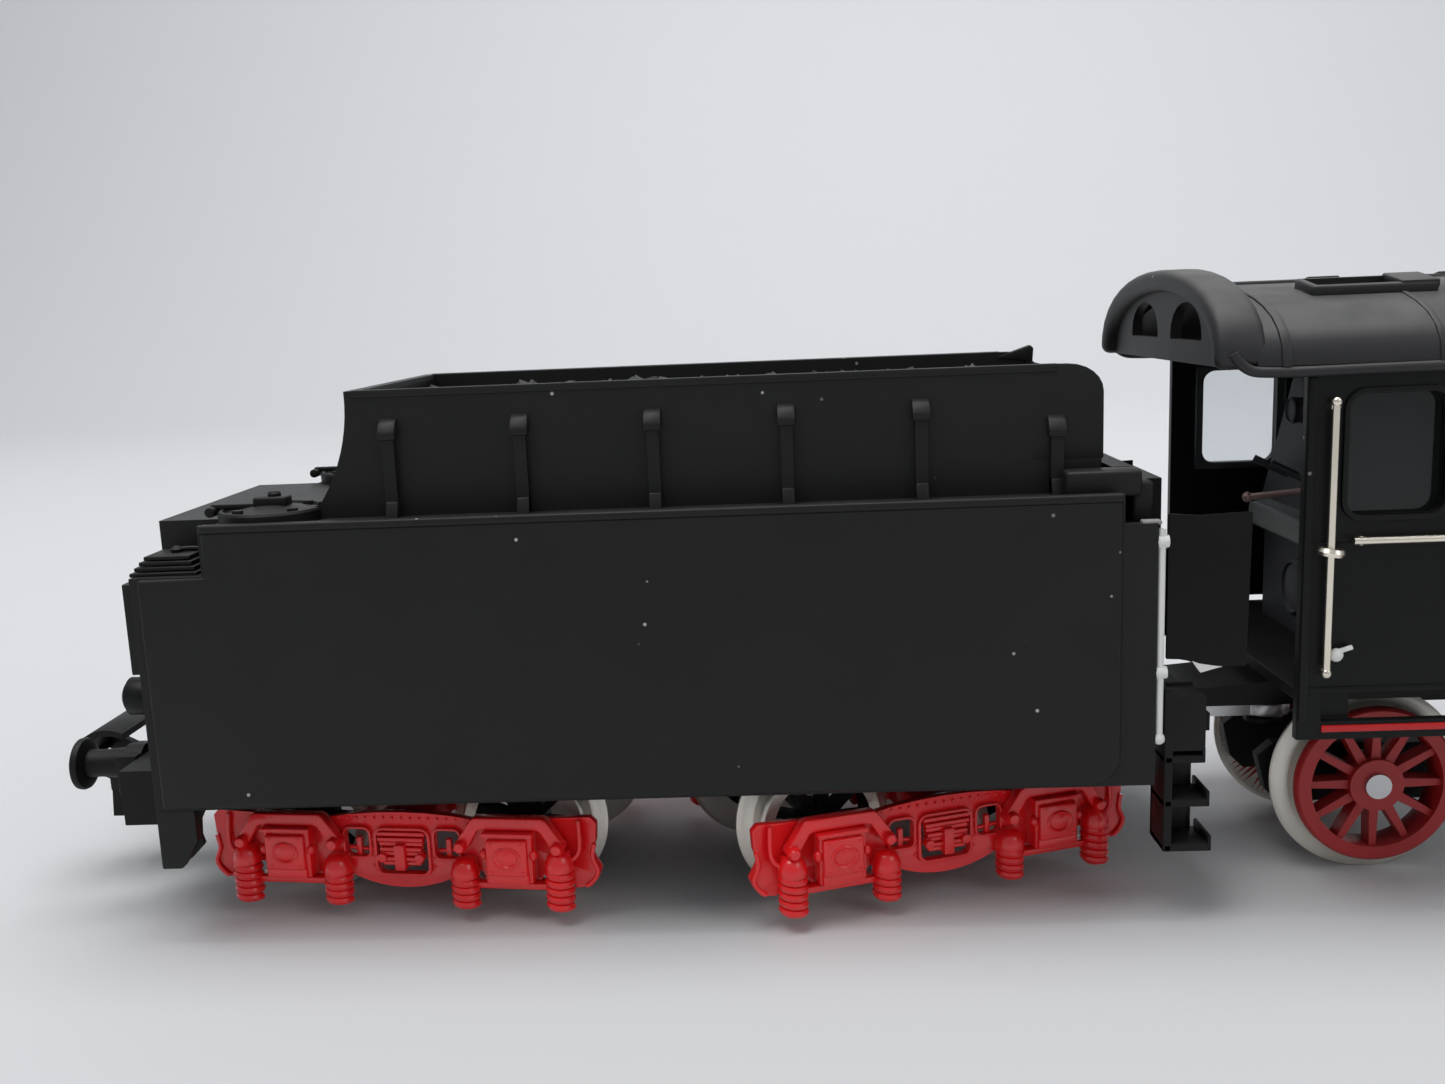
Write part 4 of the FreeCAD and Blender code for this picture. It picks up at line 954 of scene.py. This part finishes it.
def bufferPiece():
    x, y, z = bufferSpot["x"], bufferSpot["y"], bufferSpot["z"]
    head = turnedPiece([(1.2, 0), (1.2, 1.5), (1.5, 2.2), (1.75, 2.3),
                        (2.05, 2.25), (2.3, 1.8), (2.45, 0.9), (2.5, 0)],
                       onTender(x - 4.0, y, z), (-1, 0, 0), 48)
    shank = turnedPiece([(0, 1.75), (1.6, 1.7), (2.0, 1.35), (4.2, 1.2),
                         (5.3, 1.25), (5.35, 0)], onTender(x, y, z), (-1, 0, 0), 36)
    sleeve = roundEdges(boxMm(x - 1.9, x + 0.02, y - 2.3, y + 2.3, z - 2.4, z + 1.3), 0.25, 2)
    bolts = [ball(onTender(x - 1.9, y + a, z + b), 0.28, (0.7, 1, 1), 8, 5)
             for a in (-1.8, 1.8) for b in (-1.8, 0.8)]
    return joinPieces([head, shank, sleeve] + bolts, "buffer")


def frontSteps():
    x, y0, y1 = 82.75, 14.0, 17.9
    sheet = roundEdges(boxMm(x, x + 0.7, y0, y1, 6.1, 19.6), 0.12)
    back = roundEdges(boxMm(x, x + 3.2, y0, y0 + 0.6, 6.1, 19.4), 0.12)
    pieces = [sheet, back, roundEdges(boxMm(x + 0.4, x + 3.3, y0, y1, 14.6, 19.2), 0.2)]
    for reach, z in ((3.9, 6.1), (3.7, 9.9), (3.3, 13.6)):
        pieces.append(roundEdges(boxMm(x, x + reach, y0, y1, z, z + 0.65), 0.14))
        pieces.append(roundEdges(boxMm(x + reach - 0.3, x + reach, y0, y1, z, z + 1.35), 0.12))
    for z in (7.0, 10.8):
        pieces.append(roundEdges(boxMm(x + 0.5, x + 2.6, y0 + 0.4, y0 + 1.4, z, z + 2.8), 0.2))
    return joinPieces(pieces, "steps")


card = {"x": 83.35, "low": 21.5, "high": 33.9}


def fallPlate():
    x, low, high = card["x"], card["low"], card["high"]
    torn = [(x + 6.0, high), (x + 2.0, high - 0.15), (x - 0.5, high + 0.05), (x - 0.5, low + 0.75),
            (x + 0.5, low + 0.7), (x + 1.2, low + 0.55), (x + 1.8, low + 0.3), (x + 2.6, low + 0.12),
            (x + 5.8, low)]
    return roundEdges(sidePlate(torn, 17.25, 17.62), 0.06, 2, 40)


def tornEdge():
    x, low = card["x"], card["low"]
    sliver = [(x + 1.5, low + 0.55), (x + 2.1, low + 0.32), (x + 3.2, low + 0.12), (x + 3.9, low + 0.02),
              (x + 3.3, low - 0.12), (x + 2.2, low - 0.42)]
    return sidePlate(sliver, 17.3, 17.66)


def flapLug():
    pieces = [roundEdges(boxMm(80.9, 83.5, 16.1, 17.0, 24.0, 31.0), 0.12),
              roundEdges(boxMm(82.9, 83.8, 16.9, 17.3, 24.0, 31.0), 0.1)]
    return joinPieces(pieces, "lug")


def makeTenderTrim():
    pairs = (
        (fillerLid, "fillerLid", blackDeck, "tender_filler_lids", "black_body"),
        (rearHatch, "rearHatch", blackDeck, "tender_rear_hatches", "black_body"),
        (bufferPiece, "tenderBuffer", blackFrame, "tender_buffers", "black_frame"),
        (frontSteps, "frontSteps", blackFrame, "tender_front_steps", "black_frame"),
        (fallPlate, "fallPlate", blackFlap, "tender_fall_plates", "black_frame"),
        (flapLug, "flapLug", blackBody, "tender_fall_plates", "black_frame"),
        (tornEdge, "tornEdge", paperWhite, "tender_fall_plates", "black_frame"),
    )
    for build, name, material, node, slot in pairs:
        for piece, side in zip(bothSides(smooth(build(), 35)), ("left", "right")):
            piece.name = piece.data.name = name + "_" + side
            dress(piece, material, "tender")
            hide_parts(node)


def addTo(body, material, name, pieces, angle=35):
    whole = smooth(joinPieces(pieces, name), angle)
    return dress(whole, material, body)


rib = {"count": 6, "first": 20.9, "apart": 10.8, "top": 43.3, "lastTop": 41.6}
ladder = {"x": -1.6, "half": 2.2, "rungs": 8, "first": 16.6, "apart": 1.7, "low": 15.6, "high": 29.4}


def makeTenderDetail():
    caps = []
    for i in range(rib["count"]):
        x = rib["first"] + rib["apart"] * i
        top = rib["top"] if i < rib["count"] - 1 else rib["lastTop"]
        cap = prism(scaled([(13.55, top - 1.6), (14.75, top - 1.6), (14.75, top - 1.05), (14.3, top - 0.3),
                            (13.55, top + 0.15)]),
                    onTender(x - 0.72, 0, 0)[0], onTender(x + 0.72, 0, 0)[0], "x")
        caps += bothSides(roundEdges(cap, 0.14, 2))
        foot = prism(scaled([(13.55, 35.3), (15.0, 35.3), (14.45, 36.6), (13.55, 37.0)]),
                     tenderBack + (x - 0.5) * mm, tenderBack + (x + 0.5) * mm, "x")
        caps += bothSides(roundEdges(foot, 0.1, 2))
    addTo("tender", tenderBlack, "bunkerRibCaps", caps)

    rims = bothSides(roundEdges(boxMm(18.0, 75.0, 13.0, 13.75, 45.1, 45.75), 0.12))
    fin = sidePlate([(74.6, 45.2), (77.9, 46.3), (78.2, 46.0), (78.1, 44.6), (76.5, 44.9)], 12.4, 13.5)
    rims.append(roundEdges(fin, 0.12))
    nearBlock = boxMm(75.2, 81.2, 13.55, 16.2, 35.2, 37.3)
    rims += bothSides(roundEdges(nearBlock, 0.3, 3))
    small = boxMm(80.6, 82.3, 12.8, 15.6, 33.0, 36.3)
    rims += bothSides(roundEdges(small, 0.3, 3))
    addTo("tender", tenderBlack, "bunkerRims", rims)

    corner = arc(75.9, 43.4, 2.85, 90, 0, 6, 2.3) + [(78.75, 38.0), (73.0, 38.0), (73.0, 45.7)]
    fuller = sidePlate(corner, 12.75, 13.62)
    addTo("tender", tenderBlack, "bunkerCorners", bothSides(roundEdges(fuller, 0.12, 2, 40)))

    edge = [(0.7, 12.1)] + arc(76.9, 14.4, 2.3, 270, 360, 6)
    edge += [(79.2, 35.2), (6.3, 35.2), (6.3, 31.5), (0.7, 31.5)]
    strips = bothSides(roundEdges(sidePlate(edge, 17.2, 18.3), 0.3, 4, 40))
    strips += bothSides(roundEdges(boxMm(6.2, 79.3, 17.3, 18.35, 35.1, 35.75), 0.18, 3))
    addTo("tender", tenderBlack, "tankSides", strips)

    tail = []
    for y in (-13.0, -4.5, 4.5, 13.0):
        tail.append(roundEdges(boxMm(-0.55, 0.1, y - 0.35, y + 0.35, 15.0, 31.2), 0.12))
    x, half = ladder["x"], ladder["half"]
    for i in range(ladder["rungs"]):
        z = ladder["first"] + ladder["apart"] * i
        tail.append(roundEdges(startRod(onTender(x, -half, z), onTender(x, half, z), 0.26, 12), 0.05))
    for y in (-half, half):
        post = startRod(onTender(x, y, ladder["low"]), onTender(x, y, ladder["high"]), 0.3, 12)
        tail.append(roundEdges(post, 0.05))
    tail += [startRod(onTender(x - 0.1, y, z), onTender(0.1, y, z), 0.24, 10)
             for y in (-half, half) for z in (16.4, 22.5, 28.6)]
    web = sidePlate([(0.2, 11.9), (3.9, 11.9), (3.3, 10.8), (3.2, 9.4), (3.4, 8.6), (2.2, 7.4),
                     (1.4, 6.9), (0.2, 6.9)], 16.6, 17.1)
    tail += bothSides(roundEdges(web, 0.1, 2))
    addTo("tender", blackFrame, "tenderTail", tail)

    hoses = []
    for y, swing in ((5.4, 0.6), (-5.4, -0.6), (7.4, 0.4), (-7.4, -0.4)):
        path = [onTender(-3.8, y, 13.4), onTender(-5.4, y, 13.5), onTender(-6.4, y + swing, 11.6),
                onTender(-6.3, y + swing, 8.6), onTender(-5.3, y + swing, 7.2), onTender(-4.6, y, 7.6)]
        hoses.append(wire(path, 0.42))
        hoses.append(turnedPiece([(0, 0.62), (0.6, 0.62), (0.7, 0.42), (0.8, 0)],
                                 onTender(-3.9, y, 13.4), (-1, 0, 0), 16))
        hoses.append(ball(onTender(-4.6, y, 7.6), 0.5))
    addTo("tender", blackFrame, "brakeHoses", hoses)

    lenses = []
    for piece in bothSides(turnedPiece([(0, 1.15), (0.15, 1.1), (0.42, 0.7), (0.52, 0)],
                                       onTender(-2.6, 14.8, 21.0), (-1, 0, 0), 28)):
        lenses.append(piece)
    addTo("tender", lampLens, "tailLenses", lenses)

    knobs = []
    for z in (21.2, 31.8):
        knobs += bothSides(ball(onTender(82.35, 17.6, z), 0.52, (1, 1, 1), 16, 10))
    knobs += bothSides(ball(onTender(82.35, 17.6, 15.7), 0.5, (1, 1, 1), 16, 10))
    addTo("tender", whitePaint, "railKnobs", knobs)
    chips = bothSides(roundEdges(boxMm(80.8, 82.3, 16.9, 17.85, 33.15, 33.5), 0.1))
    addTo("tender", chippedGrey, "stripTops", chips)


makeCoal()
makeTenderTrim()
makeTenderDetail()
print("the tender's trim is made")


roof = {"half": 18.4, "ridge": 51.3, "hood": 52.85, "back": -7.0, "front": 28.5, "thick": 1.0,
        "seams": ((-2.2, 0.8, 0.2), (9.6, 0.5, 0.14), (19.0, 0.5, 0.14), (27.6, 0.9, 0.2))}


def roofLine(inset=0.0, low=45.0, steps=18, top=None):
    # half-height at an angle: a flattened arch from one eave to the other
    half, rise = roof["half"] - inset, (top or roof["ridge"]) - inset - low
    points = []
    for i in range(steps + 1):
        turn = math.radians(180 * i / steps)
        side = math.cos(turn)
        points.append((half * side, low + rise * (math.sin(turn) ** 0.8)))
    return points


def archBand(x0, x1, proud, thick, top=None):
    # a curved band right across the roof, standing proud of its line
    line = roofLine(thick / 2 - proud, top=top)
    piece = drawChain([(cabBack + x0 * mm, y * mm, z * mm) for y, z in line])
    bpy.ops.mesh.select_all(action="SELECT")
    bpy.ops.mesh.extrude_edges_move(TRANSFORM_OT_translate={"value": ((x1 - x0) * mm, 0, 0)})
    bpy.ops.mesh.select_all(action="SELECT")
    bpy.ops.mesh.normals_make_consistent(inside=False)
    leaveEdit()
    return applyModifier(piece, "SOLIDIFY", thickness=thick * mm, offset=0, use_even_offset=True)


def roofSkin():
    return roundEdges(archBand(roof["back"] + 3.0, roof["front"], 0, roof["thick"]), 0.14, 2, 50)


def roofSpot(y):
    # height and lean of the roof's outside at a distance y from the middle
    side = min(abs(y) / roof["half"], 0.99)
    rise = roof["ridge"] - 45.0
    height = 45.0 + rise * (1 - side * side) ** 0.4
    step = 45.0 + rise * (1 - (side + 0.02) ** 2) ** 0.4
    return height, math.degrees(math.atan2(height - step, 0.02 * roof["half"]))


def roofHood():
    top, back = roof["hood"], roof["back"]
    rim = roundEdges(archBand(back, back + 3.9, 0.02, 1.82, top), 0.8, 5, 50)
    wall = prism(scaled(roofLine(0.7, top=top)), onEngine(back + 1.2, 0, 0)[0],
                 onEngine(back + 2.1, 0, 0)[0], "x")
    openings = []
    for s in (-1, 1):
        shape = [(s * 6.2 - 4.3, 46.9)] + arc(s * 6.2, 47.4, 4.3, 180, 0, 10, 2.7) + [(s * 6.2 + 4.3, 46.9)]
        openings.append(prism(scaled(shape), cabBack + back * mm, cabBack + (back + 5) * mm, "x"))
    return [rim, cutWith(wall, openings)]


def roofSeam(x, wide, proud):
    return roundEdges(archBand(x, x + wide, proud, proud + 0.3), min(proud, wide / 3) * 0.8, 2, 50)


def roofHatch(x0, x1, y, wide, frame):
    # a shallow tray lying on the slope of the roof
    tray = startBox((0, -wide / 2 * mm, 0), inPlace(x1 - x0, wide / 2, 1.1))
    roundEdges(tray, 0.25, 3)
    well = startBox(inPlace(frame, -wide / 2 + frame, 0.35),
                    inPlace(x1 - x0 - frame, wide / 2 - frame, 2))
    cutWith(tray, [well])
    cover = roundEdges(startBox(inPlace((x1 - x0) * 0.7, -wide / 2 + 0.1, 0.5),
                                inPlace(x1 - x0 + 0.1, wide / 2 - 0.1, 1.3)), 0.2, 2)
    whole = joinPieces([tray, cover], "hatch")
    height, lean = roofSpot(y)
    lean = math.radians(lean if y < 0 else -lean)
    turn = Matrix.Translation(onEngine(x0, y, height - 0.35)) @ Matrix.Rotation(lean, 4, "X")
    whole.data.transform(turn)
    return whole


def makeRoof():
    pieces = [roofSkin()] + roofHood()
    pieces += [roofSeam(*seam) for seam in roof["seams"]]
    for s in (-1, 1):
        pieces.append(roofHatch(2.6, 12.6, s * 9.4, 4.0, 0.5))
        pieces.append(roofHatch(15.0, 24.5, s * 9.4, 4.0, 0.5))
        gutter = wire([onEngine(roof["back"] + 1.2, s * 18.2, 46.2),
                       onEngine(roof["back"] + 1.9, s * 18.3, 44.9),
                       onEngine(roof["back"] + 4.0, s * 18.3, 44.6), onEngine(8, s * 18.3, 44.75),
                       onEngine(roof["front"], s * 18.3, 44.75)], 0.42)
        pieces.append(gutter)
        eave = startBox(onEngine(-2.0, s * 17.6 - 0.5, 44.3), onEngine(roof["front"], s * 17.6 + 0.5, 45.4))
        pieces.append(roundEdges(eave, 0.2))
    whole = smooth(joinPieces(pieces, "cabRoof"), 40)
    dress(whole, roofGrey, "engine")
    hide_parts("cab_roof")


def ringOutline(a0, a1, b0, b1, radius, wide, low, high):
    # a raised rounded frame round a window, standing in the xz plane
    around = roundedOutline(a0 - wide, a1 + wide, b0 - wide, b1 + wide, radius + wide, 6)
    outer = sidePlate(around, low, high, cabBack)
    inner = sidePlate(roundedOutline(a0, a1, b0, b1, radius, 6), low - 1, high + 1, cabBack)
    cutWith(outer, [inner])
    return roundEdges(outer, 0.1, 2, 40)


window = {"spans": ((3.2, 10.6), (13.9, 20.9)), "low": 33.4, "high": 42.8}


def makeCab():
    frames = []
    for a, b in window["spans"]:
        frames += bothSides(ringOutline(a, b, window["low"], window["high"], 1.2, 0.45, 17.5, 18.2))
    for low, high in ((0.05, 0.75), (27.2, 27.9)):
        frames += bothSides(roundEdges(boxMm(low, high, 17.4, 18.1, 16.9, 44.2, onEngine), 0.16))
    frames += bothSides(roundEdges(boxMm(0.1, 27.9, 17.5, 18.05, 19.2, 19.7, onEngine), 0.14))
    frames += bothSides(roundEdges(boxMm(0.1, 27.9, 17.5, 18.05, 31.0, 31.3, onEngine), 0.08))
    addTo("engine", blackBody, "cabFrames", frames)

    stripe = bothSides(roundEdges(boxMm(1.95, 27.6, 17.7, 18.08, 15.95, 16.5, onEngine), 0.08))
    addTo("engine", redStripe, "valanceStripe", stripe)

    collars = []
    collars += bothSides(turnedPiece([(-0.3, 0.32), (-0.3, 0.95), (0, 1.1), (0.3, 0.95),
                                      (0.3, 0.32)], onEngine(1.9, 18.6, 30.7), (0.15, 0, 1), 24))
    for z in (21.0, 42.3):
        collars += bothSides(ball(onEngine(1.9, 18.6, z), 0.42, (1, 1, 1), 14, 8))
    addTo("engine", nickelWire, "railCollars", collars)
    tap = [ball(onEngine(2.7, 18.4, 22.4), 0.55, (1, 0.7, 1), 14, 8),
           startRod(onEngine(2.6, 18.4, 22.6), onEngine(3.9, 18.4, 23.0), 0.2, 10)]
    tap += [copyOf(piece, mirrorY=True) for piece in tap]
    addTo("engine", whitePaint, "railFittings", tap)

    inside = [roundEdges(boxMm(5.7, 7.3, -10.6, 10.6, 28.1, 30.3, onEngine), 0.45, 3)]
    addTo("engine", paleCast, "backheadRim", inside)
    lever = [startRod(onEngine(8.6, -2.0, 33.2), onEngine(3.6, 4.6, 31.6), 0.3, 12),
             ball(onEngine(3.6, 4.6, 31.6), 0.5, (1, 1, 1), 12, 8)]
    addTo("engine", copperLever, "regulator", lever)
    dials = []
    for y in (-6.0, 0.0, 6.0):
        dials.append(turnedPiece([(0, 1.25), (0.35, 1.3), (0.45, 1.1), (0.3, 1.0),
                                  (0.3, 0)], onEngine(8.2, y, 39.5), (-1, 0, 0), 24))
    dials.append(turnedPiece([(0, 2.7), (0.5, 2.7), (0.8, 2.3), (0.6, 2.1), (0.9, 0)],
                             onEngine(6.9, 0, 23.8), (-1, 0, 0), 32))
    addTo("engine", greyCast, "backheadFittings", dials)


makeRoof()
makeCab()
print("the cab is made")


boiler = {"z": 36.9, "r": 11.5, "end": 143.0, "beam": 161.3}


def aroundBoiler(x, angle, out=0.0):
    turn = math.radians(angle)
    reach = boiler["r"] + out
    return onEngine(x, reach * math.cos(turn), boiler["z"] + reach * math.sin(turn))


def makeBoilerDetail():
    knobs = []
    for i in range(6):
        x = 32.0 + 18.0 * i
        knobs += bothSides(ball(onEngine(x, boiler["r"] + 0.9, boiler["z"] + 2.6), 0.55, (1, 1, 1), 14, 8))
    addTo("engine", nickelWire, "boilerRailKnobs", knobs)

    pipes = []
    for angle, start, stop in ((38, 60, 128), (28, 66, 124), (-8, 44, 96)):
        pipes += bothSides(wire([aroundBoiler(start, angle, -0.4), aroundBoiler(start + 2, angle, 0.5),
                                 aroundBoiler(stop - 2, angle, 0.5), aroundBoiler(stop, angle, -0.4)], 0.32))
    for x in (68.5, 75.5, 93.0, 100.0):
        drop = [aroundBoiler(x, 74, 0.1)] + [aroundBoiler(x, angle, 0.45) for angle in (60, 40, 20, 0, -20)]
        pipes += bothSides(wire(drop + [onEngine(x, 11.6, 28.2)], 0.3))
    for x in (70.0, 74.0):
        valve = turnedPiece([(0, 0.7), (1.3, 0.7), (1.5, 0.45), (2.1, 0.45),
                             (2.2, 0)], onEngine(x, 3.2, 46.9), (0, 0.5, 1), 18)
        pipes += bothSides(valve)
    addTo("engine", blackFrame, "boilerPipes", pipes)

    pump = []
    for x, y, low, high, r in ((106.0, 14.2, 28.1, 35.4, 2.0), (58.0, 14.2, 28.1, 34.0, 1.8)):
        tank = turnedPiece([(0, 0), (0, r), (0.35 * (high - low), r), (0.4 * (high - low), 0.6 * r),
                            (0.52 * (high - low), 0.6 * r), (0.56 * (high - low), r),
                            (high - low - 0.5, r), (high - low, 0.5 * r), (high - low, 0)],
                           onEngine(x, y, low), (0, 0, 1), 28)
        pump.append(tank)
        for i in range(6):
            turn = math.radians(60 * i)
            u, v = x + r * 0.82 * math.cos(turn), y + r * 0.82 * math.sin(turn)
            pump.append(ball(onEngine(u, v, high - 0.35), 0.22, (1, 1, 0.8), 8, 4))
        pump.append(wire([onEngine(x + 1, y - 1.4, high - 2), onEngine(x + 3.5, y - 2.2, high - 2),
                          onEngine(x + 3.6, y - 3.2, high + 1.5)], 0.34))
    for piece in pump[:]:
        pump.append(copyOf(piece, mirrorY=True))
    addTo("engine", blackFrame, "airPumps", pump)

    end, mid = boiler["end"], boiler["z"]
    door = []
    for i in range(20):
        turn = math.radians(18 * i)
        y, z = 10.2 * math.cos(turn), mid + 10.2 * math.sin(turn)
        door.append(ball(onEngine(end + 0.05, y, z), 0.32, (0.7, 1, 1), 8, 4))
    ring = turnedPiece([(0, 9.3), (0.55, 9.3), (0.75, 9.0), (0.55, 8.7), (0, 8.6)],
                       onEngine(end + 0.75, 0, mid), (1, 0, 0), 56)
    lock = turnedPiece([(0, 1.9), (0.3, 2.0), (0.5, 1.8), (0.3, 1.6), (0, 1.6)],
                       onEngine(end + 2.6, 0, mid), (1, 0, 0), 36)
    bars = [startRod(onEngine(end + 0.9, y, mid + 5.2), onEngine(end + 2.0, y, mid + 5.2), 0.25, 10)
            for y in (-4.0, 4.0)]
    bars.append(wire([onEngine(end + 2.0, -4.2, mid + 5.2), onEngine(end + 2.3, 0, mid + 5.4),
                      onEngine(end + 2.0, 4.2, mid + 5.2)], 0.26))
    addTo("engine", blackBody, "smokeboxTrim", door + [ring, lock] + bars)

    cap = turnedPiece([(0, 1.85), (0, 2.55), (0.35, 2.95), (0.8, 2.95), (1.05, 2.6),
                       (1.1, 2.1), (0.9, 1.85)], onEngine(129.9, 0, 52.6), (0, 0, 1), 48)
    base = turnedPiece([(0, 3.95), (0.3, 3.8), (0.9, 3.1), (1.8, 2.65), (1.8, 2.5)],
                       onEngine(129.9, 0, 47.9), (0, 0, 1), 48)
    addTo("engine", blackBody, "chimneyRim", [cap, base])


def makeFrontEnd():
    shift = Matrix.Translation((onEngine(boiler["beam"] + 2.0, 0, 0)[0], 0, 0))
    half = Matrix.Rotation(math.radians(180), 4, "Z")
    across = shift @ half @ Matrix.Translation((-onTender(bufferSpot["x"], 0, 0)[0], 0, 0))
    left = bufferPiece()
    left.data.transform(across)
    for piece, side in zip(bothSides(smooth(left, 35)), ("right", "left")):
        piece.name = piece.data.name = "frontBuffer_" + side
        dress(piece, blackFrame, "engine")
        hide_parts("front_buffers")

    x = boiler["beam"] + 2.0
    trim = []
    for y in (-15.6, -6.2, 6.2, 15.6):
        for z in (12.0, 15.0, 18.0):
            trim.append(ball(onEngine(x, y, z), 0.24, (0.7, 1, 1), 8, 4))
    trim.append(roundEdges(boxMm(x - 0.02, x + 0.35, -2.4, 2.4, 11.4, 16.2, onEngine), 0.15))
    addTo("engine", redPlastic, "beamBolts", trim)

    hoses = []
    for y, swing in ((4.8, 0.5), (-4.8, -0.5), (6.9, 0.4), (-6.9, -0.4)):
        path = [onEngine(x, y, 14.6), onEngine(x + 1.6, y, 14.7), onEngine(x + 2.5, y + swing, 12.8),
                onEngine(x + 2.4, y + swing, 9.6), onEngine(x + 1.5, y + swing, 8.3),
                onEngine(x + 0.7, y, 8.8)]
        hoses.append(wire(path, 0.42))
        hoses.append(ball(onEngine(x + 0.7, y, 8.8), 0.52))
    chain = [onEngine(x + 2.0, 0, 13.4), onEngine(x + 2.5, 0, 11.6), onEngine(x + 2.1, 0, 9.6),
             onEngine(x + 1.6, 0, 8.6)]
    hoses.append(wire(chain, 0.4))
    addTo("engine", blackFrame, "frontHoses", hoses)

    lenses = []
    lenses += bothSides(turnedPiece([(0, 1.45), (0.15, 1.4), (0.45, 0.8), (0.55, 0)],
                                    onEngine(boiler["beam"] + 1.75, 11.6, 22.6), (1, 0, 0), 32))
    lenses.append(turnedPiece([(0, 1.2), (0.12, 1.15), (0.35, 0.7), (0.42, 0)],
                              onEngine(boiler["end"] + 0.75, 0, boiler["z"] + boiler["r"] + 1.2),
                              (1, 0, 0), 28))
    addTo("engine", lampLens, "headlampLenses", lenses)

    covers = []
    for i in range(8):
        turn = math.radians(45 * i + 22)
        y, z = 14.3 + 2.6 * math.cos(turn), 12.8 + 2.6 * math.sin(turn)
        covers.append(ball(onEngine(147.0, y, z), 0.28,
                           (0.7, 1, 1), 8, 4))
    covers.append(turnedPiece([(0, 2.0), (0.5, 1.9), (0.7, 1.2), (0.72, 0)],
                              onEngine(147.0, 14.3, 12.8), (1, 0, 0), 32))
    covers.append(turnedPiece([(0, 1.6), (0.5, 1.5), (0.7, 0.8), (0.72, 0)],
                              onEngine(148.55, 13.7, 20.2), (1, 0, 0), 28))
    for piece in covers[:]:
        covers.append(copyOf(piece, mirrorY=True))
    addTo("engine", blackBody, "cylinderCovers", covers)

    treads = []
    for x in range(30, 150, 6):
        treads += bothSides(roundEdges(boxMm(x, x + 5.6, 12.2, 17.2, 27.95, 28.12, onEngine), 0.06, 1))
    addTo("engine", blackDeck, "boardPlates", treads)


makeBoilerDetail()
makeFrontEnd()
print("the engine's trim is made")
